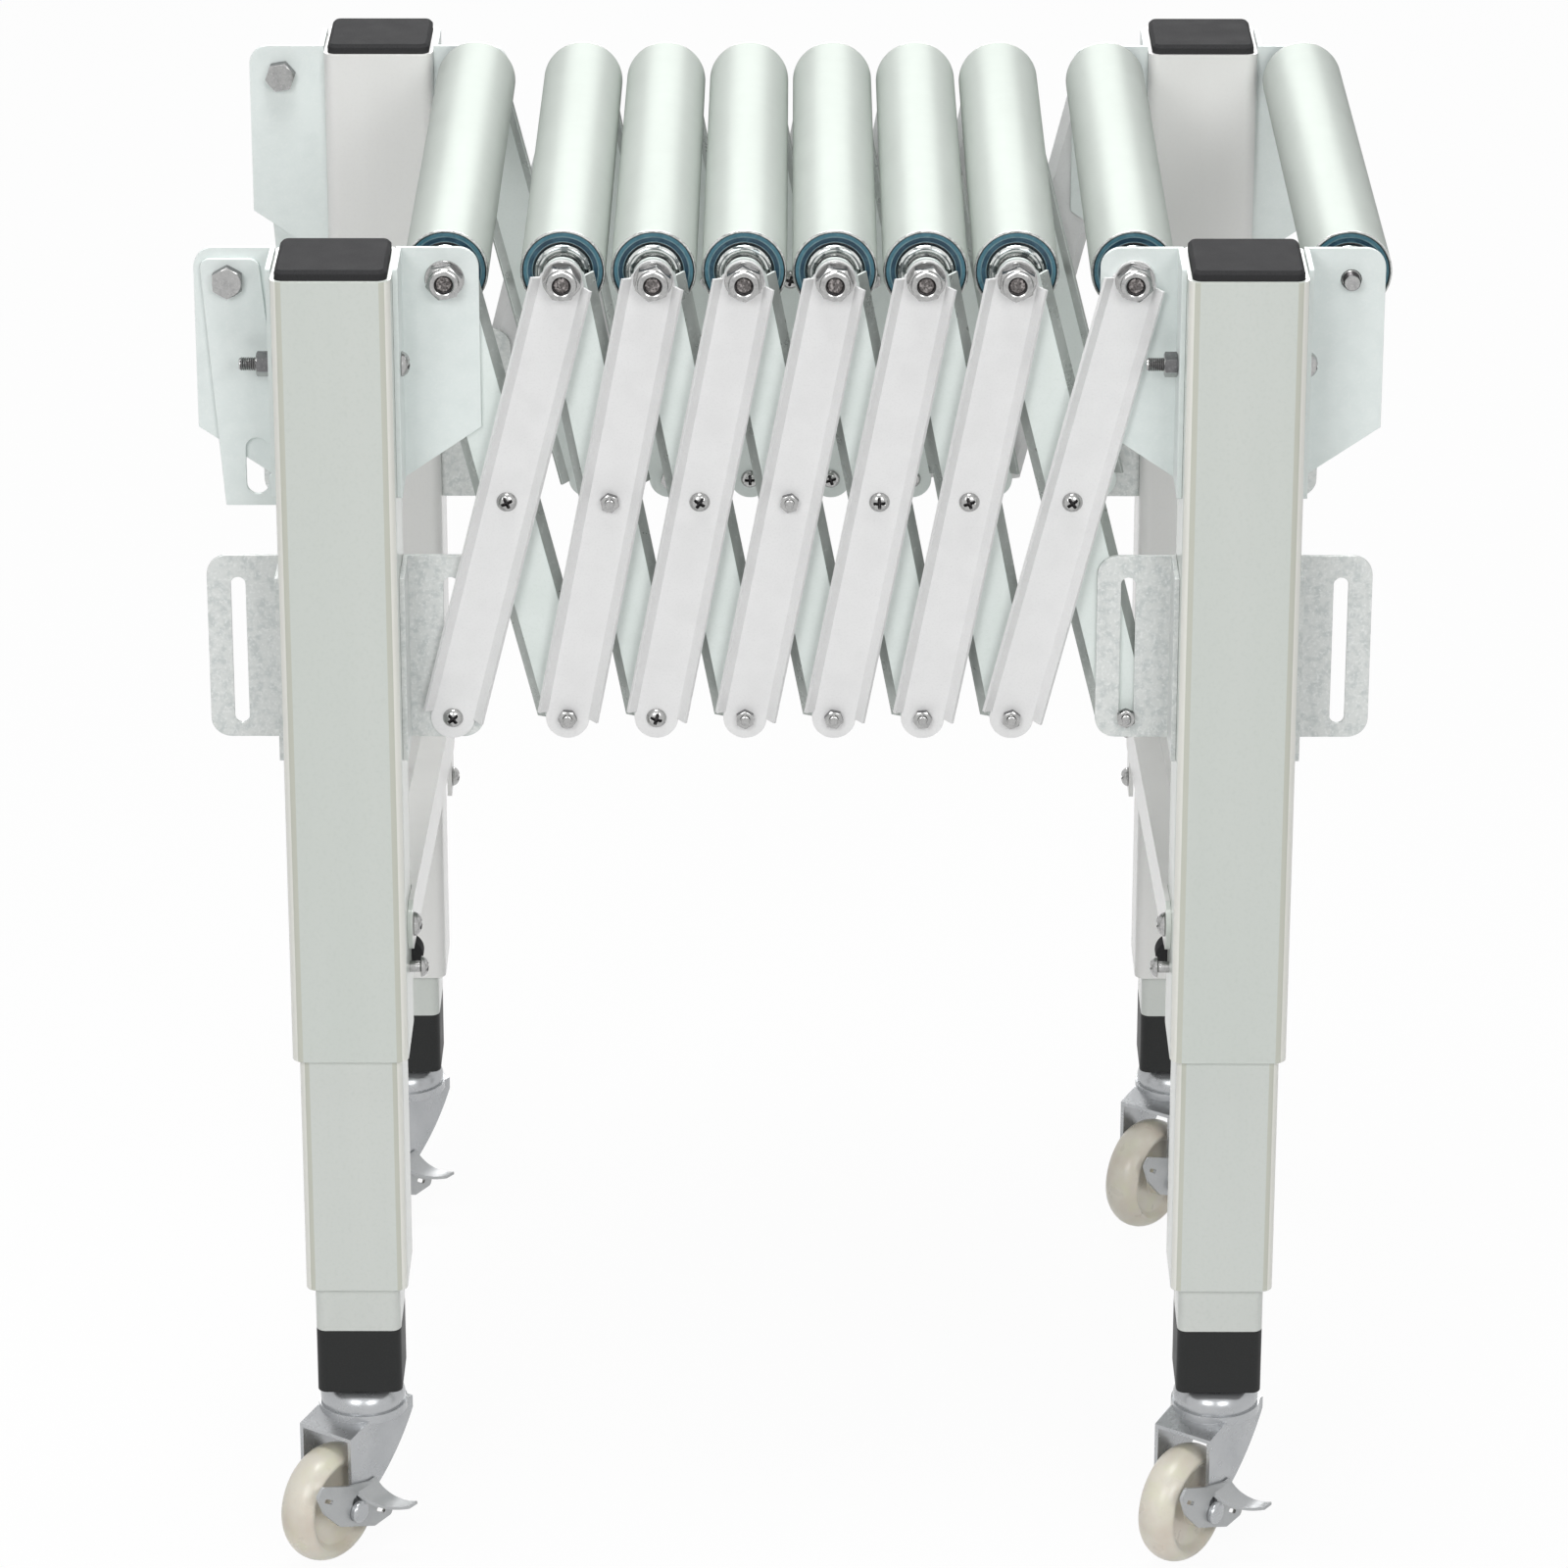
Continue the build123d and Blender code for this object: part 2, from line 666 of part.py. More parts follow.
def left_axle_and_hook_bolts():
    """The first roller's axle with its nuts, and the bolts that the coupling hooks hang on."""
    hub_face = roller_end + hub_rise + slide_gap
    hook_x = -leg_x - axle_to_leg
    hook_face = outer_bar_back + hook_sheet
    shank = hook_face + seat - bracket_back + leg_nut_height
    with BuildPart() as pieces:
        add(axle(first_axle_x, bracket_face + seat + nut_stack))
        for side in (-1, 1):
            with Locations(outward(first_axle_x, bracket_face + seat, axle_z, side)):
                add(axle_nut_set.part)
            with Locations(outward(first_axle_x, hub_face, axle_z, side)):
                add(ring(spacer_radius, axle_radius + seat, inner_bar_back - seat - hub_face))
            with Locations(outward(hook_x, hook_face + seat, axle_z, side)):
                add(hex_prism(hook_bolt_flats, hook_bolt_head, 0))
            with Locations(outward(hook_x, hook_face + seat - shank, axle_z, side)):
                Cylinder(axle_radius, shank, align=(Align.CENTER, Align.CENTER, Align.MIN))
            with Locations(outward(hook_x, seat - bracket_back, axle_z, -side)):
                add(hex_prism(hook_bolt_flats, leg_nut_height, axle_radius + seat))
    return pieces.part


def right_axle():
    """The ninth roller's axle, whose ends stand out of the brackets as coupling studs."""
    hub_face = roller_end + hub_rise + slide_gap
    stud_end = bracket_face + coupling_stud_length
    with BuildPart() as pieces:
        with Locations(Location((ninth_axle_x, 0, axle_z), (90, 0, 0))):
            Cylinder(axle_radius, 2 * bracket_face)
            Cylinder(coupling_stud_radius, 2 * stud_end)
        chamfer(pieces.edges().filter_by(GeomType.CIRCLE).group_by(Axis.Y)[0], length=nut_chamfer)
        chamfer(pieces.edges().filter_by(GeomType.CIRCLE).group_by(Axis.Y)[-1], length=nut_chamfer)
        for side in (-1, 1):
            with Locations(outward(ninth_axle_x, hub_face, axle_z, side)):
                add(ring(spacer_radius, axle_radius + seat, bracket_back - seat - hub_face))
    return pieces.part


def coupling_hook(side):
    """The plate that hangs outside a left bracket and drops over the next section's stud."""
    hook_plane = Plane(
        origin=(-leg_x - axle_to_leg, side * outer_bar_back, axle_z), x_dir=(1, 0, 0), z_dir=(0, -1, 0)
    )
    throat_bottom = -hook_drop + hook_throat_floor
    throat_right = hook_right - hook_lip_width
    throat_left = throat_right - hook_throat_width
    radius = hook_throat_width / 2
    with BuildPart() as hook:
        with BuildSketch(hook_plane):
            with BuildLine():
                Polyline(
                    (-hook_left_top, hook_rise),
                    (hook_right_top, hook_rise),
                    (hook_right, -hook_shoulder),
                    (hook_right, -hook_drop),
                    (-hook_left_bottom, -hook_drop),
                    close=True,
                )
            make_face()
            fillet(vertices().group_by(Axis.Y)[-1], radius=hook_corner)
            Circle(axle_radius + running, mode=Mode.SUBTRACT)
            with Locations((throat_left + radius, throat_bottom + hook_throat_height / 2)):
                SlotOverall(hook_throat_height, hook_throat_width, rotation=90, mode=Mode.SUBTRACT)
            mouth_low = throat_bottom + hook_lip_height
            mouth_high = throat_bottom + hook_throat_height - radius / 2
            with Locations((hook_right, (mouth_low + mouth_high) / 2)):
                Rectangle(2 * (hook_lip_width + radius), mouth_high - mouth_low, mode=Mode.SUBTRACT)
        extrude(amount=-side * hook_sheet)
    return hook.part


def mid_tube():
    """The middle leg tube with the liner at its mouth, at its place below a leg's top."""
    with BuildPart() as tube:
        with Locations((0, 0, mid_bottom)):
            add(square_tube(mid_size, mid_wall, mid_corner, mid_exposed + mid_overlap))
        with Locations((0, 0, mid_bottom + guide_recess)):
            add(guide_sleeve(mid_size, mid_wall, mid_corner, inner_size, inner_corner))
    return tube.part


def inner_tube():
    """The inner leg tube, its foot plug and the stem with its race plate that the caster turns on."""
    plug_top = caster_height + plug_collar
    bore = inner_size - 2 * inner_wall - 2 * seat
    stem_low = fork_crown_z - slide_gap
    with BuildPart() as tube:
        with Locations((0, 0, plug_top)):
            add(square_tube(inner_size, inner_wall, inner_corner, inner_exposed + inner_overlap))
        with BuildSketch(Plane.XY.offset(caster_height)):
            RectangleRounded(inner_size, inner_size, inner_corner)
        extrude(amount=plug_collar - seat)
        with BuildSketch(Plane.XY.offset(plug_top - seat)):
            RectangleRounded(bore, bore, inner_corner - inner_wall)
        extrude(amount=plug_spigot)
        with Locations((0, 0, caster_height)):
            Cylinder(
                stem_radius + seat, stem_reach + seat,
                align=(Align.CENTER, Align.CENTER, Align.MIN), mode=Mode.SUBTRACT,
            )
    with BuildPart() as stem:
        with Locations((0, 0, stem_low - stem_head_height)):
            Cylinder(stem_head_radius, stem_head_height, align=(Align.CENTER, Align.CENTER, Align.MIN))
        with Locations((0, 0, stem_low)):
            Cylinder(
                stem_radius, caster_height + stem_reach - stem_low,
                align=(Align.CENTER, Align.CENTER, Align.MIN),
            )
        with Locations((0, 0, caster_height - seat)):
            Cylinder(race_plate_radius, race_plate_height, align=(Align.CENTER, Align.CENTER, Align.MAX))
    with BuildPart() as leg:
        add(tube.part)
        add(stem.part)
    return leg.part


def caster_fork():
    """The swivel fork with its domed race and the wheel axle rivet, in the caster's frame."""
    crown_top = fork_crown_z + fork_sheet
    half_width = fork_width / 2
    race_step = race_radius - race_step_width
    race_floor = race_top - race_hollow
    lip_top = crown_top - fork_lip_drop
    with BuildPart() as fork:
        with BuildSketch(Plane.XY.offset(fork_crown_z)):
            Circle(race_radius)
        extrude(amount=fork_sheet)
        with BuildSketch(Plane.XZ):
            with BuildLine():
                Polyline(
                    (-fork_back, crown_top),
                    (race_top_radius, crown_top),
                    (fork_front, lip_top),
                    (fork_front, lip_top - fork_sheet),
                    (race_top_radius, fork_crown_z),
                    (-fork_back, fork_crown_z),
                    close=True,
                )
            make_face()
        extrude(amount=half_width, both=True)
        for side in (-1, 1):
            with BuildSketch(Plane.XZ.offset(side * half_width)):
                with BuildLine():
                    Polyline(
                        (trail - fork_eye_radius, wheel_radius),
                        (fork_front, wheel_radius),
                        (fork_front, lip_top),
                        (race_top_radius, crown_top),
                        (-fork_back, crown_top),
                        (-fork_back, crown_top - fork_back_drop),
                    )
                    ThreePointArc(
                        (-fork_back, crown_top - fork_back_drop),
                        (0, wheel_radius + fork_belly),
                        (trail - fork_eye_radius, wheel_radius),
                    )
                make_face()
                with Locations((trail, wheel_radius)):
                    Circle(fork_eye_radius)
                    Circle(wheel_axle_radius + seat, mode=Mode.SUBTRACT)
            extrude(amount=-side * fork_sheet)
        with BuildSketch(Plane.XZ):
            with BuildLine():
                Polyline(
                    (stem_radius + running, crown_top), (race_radius, crown_top),
                    (race_radius, crown_top + race_step_height), (race_step, crown_top + race_step_height),
                )
                ThreePointArc(
                    (race_step, crown_top + race_step_height),
                    (race_step - race_step_width / 2, (crown_top + race_top) / 2 + race_hollow),
                    (race_top_radius, race_top),
                )
                ThreePointArc(
                    (race_top_radius, race_top),
                    (race_top_radius - race_hollow, race_top - race_hollow / 3),
                    (race_inner_radius, race_floor),
                )
                Polyline(
                    (race_inner_radius, race_floor), (stem_radius + running, race_floor),
                    (stem_radius + running, crown_top),
                )
            make_face()
        revolve(axis=Axis.Z)
        Cylinder(stem_radius + running, 2 * caster_height, mode=Mode.SUBTRACT)
    head_y = half_width + seat
    pedal_face = half_width + slide_gap + pedal_sheet + slide_gap
    with BuildPart() as rivet:
        with Locations(Location((trail, 0, wheel_radius), (90, 0, 0))):
            Cylinder(wheel_axle_radius, 2 * head_y)
        with Locations(Location((trail, head_y, wheel_radius), (-90, 0, 0))):
            Cylinder(wheel_axle_radius, pedal_face - head_y, align=(Align.CENTER, Align.CENTER, Align.MIN))
        for y, way in ((-head_y, 90), (pedal_face, -90)):
            with Locations(Location((trail, y, wheel_radius), (way, 0, 0))):
                Cylinder(rivet_radius, rivet_height, align=(Align.CENTER, Align.CENTER, Align.MIN))
        fillet(rivet.edges().filter_by(GeomType.CIRCLE).group_by(Axis.Y)[0], radius=rivet_height / 2)
        fillet(rivet.edges().filter_by(GeomType.CIRCLE).group_by(Axis.Y)[-1], radius=rivet_height / 2)
    with BuildPart() as pair:
        add(fork.part)
        add(rivet.part)
    return pair.part


def caster_wheel():
    """The solid wheel with dished sides and a wider hub, in the caster's frame."""
    half = wheel_width / 2
    half_hub = wheel_hub_width / 2
    dish_radius = wheel_radius - wheel_rim
    with BuildPart() as wheel:
        with BuildSketch(Plane.XY):
            with BuildLine():
                Polyline(
                    (wheel_radius - wheel_shoulder, half), (dish_radius, half),
                    (dish_radius - wheel_dish, half - wheel_dish), (wheel_hub_radius, half - wheel_dish),
                    (wheel_hub_radius, half_hub), (wheel_axle_radius + running, half_hub),
                    (wheel_axle_radius + running, -half_hub), (wheel_hub_radius, -half_hub),
                    (wheel_hub_radius, -half + wheel_dish), (dish_radius - wheel_dish, -half + wheel_dish),
                    (dish_radius, -half), (wheel_radius - wheel_shoulder, -half),
                )
                ThreePointArc(
                    (wheel_radius - wheel_shoulder, -half),
                    (wheel_radius, 0),
                    (wheel_radius - wheel_shoulder, half),
                )
            make_face()
        revolve(axis=Axis.Y)
    return wheel.part.moved(Location((trail, 0, wheel_radius)))


def on_wheel(shares):
    """The place on the wheel's side that two shares of its radius from its axle stand for."""
    return trail + shares[0] * wheel_radius, wheel_radius + shares[1] * wheel_radius


def brake_pedal():
    """The stamped brake pedal on the outside of the fork, with its bent tongue."""
    face_y = fork_width / 2 + slide_gap
    root_x, root_z = on_wheel(tongue_root_shares)
    tip_x = root_x - tongue_sweep
    with BuildPart() as tongue:
        with BuildSketch(Plane.YZ.offset(root_x)):
            with BuildLine():
                ThreePointArc(
                    (face_y, root_z),
                    (face_y + tongue_bend, root_z - tongue_bend_fall),
                    (face_y + tongue_reach, root_z - tongue_fall),
                )
            trace(line_width=pedal_sheet)
        extrude(amount=tongue_root + tongue_sweep, both=True)
        with BuildSketch(Plane.XY):
            with BuildLine():
                Polyline(
                    (root_x + tongue_root / 2, face_y),
                    (root_x - tongue_root / 2, face_y),
                    (tip_x - tongue_tip / 2, face_y + tongue_reach),
                    (tip_x + tongue_tip / 2, face_y + tongue_reach),
                    close=True,
                )
            make_face()
        extrude(amount=caster_height, mode=Mode.INTERSECT)
    with BuildPart() as pedal:
        with BuildSketch(Plane.XZ.offset(-face_y)):
            with BuildLine():
                Polyline(*[on_wheel(shares) for shares in pedal_outline_shares], close=True)
            make_face()
            fillet(vertices(), radius=pedal_corner)
            with Locations((trail, wheel_radius)):
                Circle(wheel_axle_radius + running, mode=Mode.SUBTRACT)
            with Locations((trail, wheel_radius + pedal_relief_rise)):
                Circle(pedal_relief, mode=Mode.SUBTRACT)
            with Locations(*[on_wheel(shares) for shares in pedal_slot_shares]):
                SlotOverall(pedal_slot_length, pedal_slot_width, rotation=30, mode=Mode.SUBTRACT)
        extrude(amount=-pedal_sheet)
        add(tongue.part)
    return pedal.part


# Legs and casters at the four corners
corners = {
    "near_left": (-leg_x, -leg_y),
    "near_right": (leg_x, -leg_y),
    "far_left": (-leg_x, leg_y),
    "far_right": (leg_x, leg_y),
}
corner_pieces = {
    "mid_tube": mid_tube(),
    "inner_tube": inner_tube(),
    "caster_fork": caster_fork(),
    "caster_wheel": caster_wheel(),
    "brake_pedal": brake_pedal(),
}
for corner, (x, y) in corners.items():
    for name, piece in corner_pieces.items():
        turn = 0 if name.endswith("tube") else caster_turn
        with BuildPart() as corner_piece:
            with Locations(Location((x, y, 0), (0, 0, turn))):
                add(piece)
        corner_piece.part.label = f"{name}_{corner}"
        export_step(corner_piece.part, f"parts/{name}_{corner}.step")

# End frames
for name, hand in (("left", -1), ("right", 1)):
    with BuildPart() as leg_frame:
        add(end_frame(hand))
    leg_frame.part.label = f"{name}_leg_frame"
    export_step(leg_frame.part, f"parts/{name}_leg_frame.step")

    with BuildPart() as plastics:
        add(caps_and_guides(hand))
    plastics.part.label = f"{name}_caps_and_guides"
    export_step(plastics.part, f"parts/{name}_caps_and_guides.step")

    with BuildPart() as bracket_set:
        add(brackets(hand))
    bracket_set.part.label = f"{name}_brackets"
    export_step(bracket_set.part, f"parts/{name}_brackets.step")

    with BuildPart() as fastener_set:
        add(leg_fasteners(hand))
        add(left_axle_and_hook_bolts() if hand < 0 else right_axle())
    fastener_set.part.label = f"{name}_fasteners"
    export_step(fastener_set.part, f"parts/{name}_fasteners.step")

# Coupling hooks
for name, side in (("near", -1), ("far", 1)):
    with BuildPart() as hook:
        add(coupling_hook(side))
    hook.part.label = f"coupling_hook_{name}"
    export_step(hook.part, f"parts/coupling_hook_{name}.step")

# Rollers: eight on the lattice axles and one outside the right legs
standard_roller = roller_unit()
for number, x in enumerate(axle_x + [ninth_axle_x], start=1):
    with BuildPart() as roller:
        with Locations((x, 0, axle_z)):
            add(standard_roller)
    roller.part.label = f"roller_{number}"
    export_step(roller.part, f"parts/roller_{number}.step")
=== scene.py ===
import json
from math import cos, pi, radians, sin

import bmesh
import bpy
from mathutils import Matrix, Vector


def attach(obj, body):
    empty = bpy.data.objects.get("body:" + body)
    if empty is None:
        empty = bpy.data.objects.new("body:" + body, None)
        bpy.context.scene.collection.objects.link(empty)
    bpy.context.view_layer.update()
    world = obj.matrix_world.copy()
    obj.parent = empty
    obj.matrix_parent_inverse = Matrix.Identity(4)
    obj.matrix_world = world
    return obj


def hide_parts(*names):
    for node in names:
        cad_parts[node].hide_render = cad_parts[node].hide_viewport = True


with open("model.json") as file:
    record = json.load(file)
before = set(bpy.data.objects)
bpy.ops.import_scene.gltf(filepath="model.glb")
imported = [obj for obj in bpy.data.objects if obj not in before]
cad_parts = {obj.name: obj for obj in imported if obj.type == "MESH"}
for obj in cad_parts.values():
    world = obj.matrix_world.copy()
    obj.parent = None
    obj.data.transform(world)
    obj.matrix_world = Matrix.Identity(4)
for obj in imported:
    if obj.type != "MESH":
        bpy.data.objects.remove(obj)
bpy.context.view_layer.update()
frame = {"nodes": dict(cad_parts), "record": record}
record = frame["record"]
scene = bpy.context.scene

# Sizes and places are in millimetres and angles in degrees, unless a comment says otherwise
MM = 0.001

# Camera, from the fit of the photograph
camera_place = (5.1, -3903.8, 2008.0)
camera_pitch = 22.0
camera_yaw = 0.13
focal_pixels = 6781.2
photo_pixels = 1600
camera_drop = -32.7
sensor_width = 36.0
camera_clip = (0.1, 60.0)

# Light: the strength of the sky on the object and of the white behind it, and the lamps
sky_strength = 0.2
white_strength = 1.0
lamps = (
    # name, place in metres, aim in metres, size in metres, power in watts
    ("key_left", (-1.3, -3.4, 2.4), (0.0, 0.0, 0.5), (1.4, 1.4), 44.0),
    ("key_right", (1.3, -3.3, 2.2), (0.0, 0.0, 0.5), (1.4, 1.4), 35.0),
    ("top", (-0.2, -0.2, 3.3), (0.0, 0.0, 0.6), (1.2, 1.2), 60.0),
    ("back", (0.0, 4.0, 2.5), (0.0, 0.0, 0.8), (2.6, 0.9), 50.0),
)

# Floor, its side in metres
floor_size = 24.0
floor_colour = (0.82, 0.82, 0.82, 1.0)
floor_rough = 0.9
floor_specular = 0.1
floor_white_share = 0.95

# Sizes and places that repeat the part's
seat = 0.1
leg_x = 264.0
leg_y = 235.0
leg_half = 35.0
axle_z = 814.0
mid_pivot_z = 677.0
base_pivot_z = 540.0
axle_x = (-201.0, -132.5, -79.5, -26.5, 26.5, 79.5, 132.5, 201.0)
cells = len(axle_x) - 1
ninth_axle_x = 327.0
hub_face = 202.8
inner_bar_back = 208.5
bracket_back = 210.7
bracket_face = 213.7
bracket_sheet = 3.0
outer_bar_face = 215.9
slot_bracket_top = 660.0
stem_top = 110.9
plug_top = 153.0

# Rollers
roller_radius = 25.0
roller_bore = 23.5
roller_end = 200.0
roller_sides = 72
seal_face = 198.5
seal_ridge = 20.9
hub_radius = 17.0
hub_neck = 9.5
hub_neck_edge = 0.4
hub_crest = 202.5
hub_rise = 3.2
hub_back = 188.5
hub_clearance = 0.06
dome_steps = 12
# Steps of the hub's dome that carry painted dark reflection
dome_painted_dark_reflection = (1, 2, 8, 11, 12)
seal_and_rim = (
    # radius of what the row follows, added to it, height that it follows, added to it, material
    # The groove beside the hub carries painted shade
    (hub_radius, 0.2, seal_face, -0.2, "painted_recess_shade"),
    (hub_radius, 0.5, seal_face, -0.3, "painted_recess_shade"),
    (hub_radius, 0.7, seal_face, 0.2, "seal_ring"),
    (hub_radius, 1.1, seal_face, 0.2, "seal_ring"),
    (hub_radius, 1.3, seal_face, -0.2, "seal_rubber"),
    (seal_ridge, -0.5, seal_face, 0.0, "seal_rubber"),
    (seal_ridge, -0.3, seal_face, 0.35, "seal_ring"),
    (seal_ridge, 0.1, seal_face, 0.35, "seal_ring"),
    (seal_ridge, 0.3, seal_face, 0.0, "seal_ring"),
    (roller_bore, -0.4, seal_face, -0.2, "seal_band"),
    # The groove inside the rim carries painted shade
    (roller_bore, -0.1, seal_face, -0.5, "painted_recess_shade"),
    (roller_bore, 0.0, seal_face, 0.2, "rim_steel"),
    (roller_bore, 0.15, roller_end, -0.35, "rim_steel"),
    (roller_bore, 0.5, roller_end, -0.05, "rim_steel"),
    (roller_bore, 0.9, roller_end, 0.0, "rim_steel"),
    (roller_radius, -0.25, roller_end, -0.25, "rim_steel"),
    (roller_radius, 0.0, roller_end, -0.8, "rim_steel"),
    (roller_radius, 0.0, roller_end, -1.6, "rim_steel"),
)

# Axles with their washers, spacers and nuts; a nut is given by its flats and its height
axle_radius = 6.0
axle_nut = (19.0, 8.0)
spacer_radius = 9.0
ring_between_radius = 9.0
washer_radius = 11.5
washer_sheet = 1.5
axle_nut_step = 17.0
frame_axle_turn = 12.0

# The round collar of an axle nut: the axle's end lies sunk in its bore
collar_radius = 9.0
collar_height = 3.0
collar_bore = 5.4
collar_root = 0.1
axle_sunk = 2.4
collar_rows = (
    # radius that the row follows, added to it, height above the collar's top, material
    (collar_radius, 0.0, -0.9, "bright_zinc"),
    (collar_radius, -0.35, -0.3, "bright_zinc"),
    (collar_radius, -1.0, 0.0, "bright_zinc"),
    (collar_bore, 0.9, 0.0, "bright_zinc"),
    (collar_bore, 0.25, -0.35, "bright_zinc"),
    # The bore's wall carries painted shade
    (collar_bore, 0.0, -0.9, "painted_recess_shade"),
)
sunk_end_rows = (
    # radius added to the bore's, height above the sunk end, material
    # The bore's wall carries painted shade down to the sunk end
    (0.0, 0.0, "painted_recess_shade"),
    (-0.4, -0.1, "painted_recess_shade"),
    (-0.7, 0.3, "axle_end"),
    (-1.2, 0.6, "axle_end"),
)
sunk_crown_share = 0.45
sunk_crown_height = 0.75
sunk_middle_height = 0.5

# Lattice pivots; a head is given by its radius and its height
pivot_radius = 3.0
pivot_head = (6.0, 3.6)
pivot_nut = (10.0, 4.6)
pivot_tail = 2.4
pivot_ring_radius = 8.0
slot_bush_radius = 4.2
mid_pivot_turn = 25.0
base_pivot_turn = 40.0
last_pivot_turn = 33.0
heads_outside = (True, False, True, False, True, True, True)
base_heads_outside = (True, False, True, False, False, False, False)

# Bolts through the legs, of the braces and hooks, and height lock screws
leg_bolt_z = 769.0
leg_bolt_radius = 4.0
leg_bolt_head = (7.5, 5.0)
leg_bolt_tail = 10.0
leg_nut = (13.0, 8.0)
leg_nut_turn = 20.0
brace_sheet = 3.0
brace_near_z = 414.0
brace_far_z = 354.0
brace_grip = 5.6
lock_radius = 3.5
lock_head = (6.5, 4.5)
lock_near_x = 222.0
lock_near_z = 386.0
lock_near_length = 10.7
lock_far_y = 213.0
lock_far_z = 327.0
lock_far_length = 6.9
hook_sheet = 3.0
hook_bolt_flats = 17.0
hook_bolt_head = 6.5
hook_bolt_turn = 30.0
hook_shank = 14.3
hook_nut_height = 8.0
hook_nut_turn = 10.0
stud_radius = 5.0
stud_length = 8.0
stud_sunk = 1.0

# Threads, chamfers and the cross recess of a head
thread_pitch = 1.25
thread_depth = 0.45
tip_chamfer = 0.7
ring_soft = 0.25
edge_parts = 3
chamfer_share = 0.96
chamfer_slope = 0.577
# Hexagon facets that look this way, given in radians, get painted dark reflection when the cosine to
# it passes shaded_from
shaded_way = 1.2
shaded_from = 0.3
round_sides = 32
nut_sides = 48
cross_sides = 72
cross_rows_count = 16
cross_reach_share = 0.62
cross_width_share = 0.3
cross_depth_share = 0.5
# Depth share of the cross recess past which it carries painted shade
cross_shade_share = 0.35
cross_wall_slope = 2.2
cross_end_length = 0.8
head_turn = 12.0
head_edge = 0.3
head_rim = 0.4
dome_power = 2.6
dome_bend = 0.62
dome_row_power = 1.6

# Lattice bars, in the trimmed upper ends and on the flanges
bar_shortest = 100.0
bar_end_radius = 11.9
bar_end_from = 0.5
bar_end_across = 13.2
flange_from = 0.6

# Painted highlight and painted shade on the rounded corners of the near legs, by how far a face's
# normal turns to the side
corner_level = 0.1
corner_shade_from = 0.2
corner_highlight_from = 0.48
corner_highlight_to = 0.97

# Rounded edges and the cleaning of the carried meshes
edge_round = 0.45
leg_edge_round = 0.6
wheel_edge_round = 1.4
edge_segments = 2
sharp_angle = 32.0
crisp_angle = 24.0
flat_angle = 0.5
weld = 0.001

# Noise of the materials
noise_detail = 4.0
rough_patch = 14.0
rough_band = (0.3, 0.7)
even = (1, 1, 1)
upright = (1, 1, 14)
lacquer = {"Coat_Weight": 0.6, "Coat_Roughness": 0.16}

materials = {}


def linear(red, green, blue):
    """A colour given as 0 to 255 display values, in the scene's linear light."""
    values = []
    for value in (red, green, blue):
        share = value / 255
        values.append(share / 12.92 if share <= 0.04045 else ((share + 0.055) / 1.055) ** 2.4)
    return (*values, 1.0)


def surface(name, colour, rough, metal=0.0, stains_and_painted_reflection=(), grains=(), rough_spread=0.04, **settings):
    """Make a procedural material and enter it in materials.

    stains lists (colour, size in mm, stretch, low, high, share): patches of a second colour, which are
    real marks on most materials and painted reflection on the roller hubs.
    grains lists (size in mm, stretch, depth in mm): fine relief.
    """
    made = bpy.data.materials.new(name)
    made.use_nodes = True
    nodes = made.node_tree.nodes
    links = made.node_tree.links
    shader = nodes["Principled BSDF"]
    place = nodes.new("ShaderNodeTexCoord").outputs["Object"]

    def noise(size, stretch):
        mapping = nodes.new("ShaderNodeMapping")
        mapping.inputs["Scale"].default_value = [1 / (size * MM * part) for part in stretch]
        links.new(place, mapping.inputs["Vector"])
        texture = nodes.new("ShaderNodeTexNoise")
        texture.inputs["Scale"].default_value = 1.0
        texture.inputs["Detail"].default_value = noise_detail
        links.new(mapping.outputs["Vector"], texture.inputs["Vector"])
        return texture.outputs["Fac"]

    def ranged(value, low, high, bottom, top):
        span = nodes.new("ShaderNodeMapRange")
        span.inputs["From Min"].default_value = low
        span.inputs["From Max"].default_value = high
        span.inputs["To Min"].default_value = bottom
        span.inputs["To Max"].default_value = top
        links.new(value, span.inputs["Value"])
        return span.outputs["Result"]

    shader.inputs["Metallic"].default_value = metal
    shader.inputs["Roughness"].default_value = rough
    for key, value in settings.items():
        shader.inputs[key.replace("_", " ")].default_value = value
    last = None
    for second, size, stretch, low, high, share in stains_and_painted_reflection:
        mix = nodes.new("ShaderNodeMix")
        mix.data_type = "RGBA"
        mix.inputs["A"].default_value = linear(*colour)
        mix.inputs["B"].default_value = linear(*second)
        if last:
            links.new(last, mix.inputs["A"])
        links.new(ranged(noise(size, stretch), low, high, 0.0, share), mix.inputs["Factor"])
        last = mix.outputs["Result"]
    if last:
        links.new(last, shader.inputs["Base Color"])
    else:
        shader.inputs["Base Color"].default_value = linear(*colour)
    if rough_spread:
        patches = noise(rough_patch, even)
        spread = ranged(patches, *rough_band, rough - rough_spread, rough + rough_spread)
        links.new(spread, shader.inputs["Roughness"])
    last = None
    for size, stretch, depth in grains:
        bump = nodes.new("ShaderNodeBump")
        bump.inputs["Distance"].default_value = depth * MM
        bump.inputs["Strength"].default_value = 1.0
        links.new(noise(size, stretch), bump.inputs["Height"])
        if last:
            links.new(last, bump.inputs["Normal"])
        last = bump.outputs["Normal"]
    if last:
        links.new(last, shader.inputs["Normal"])
    materials[name] = made


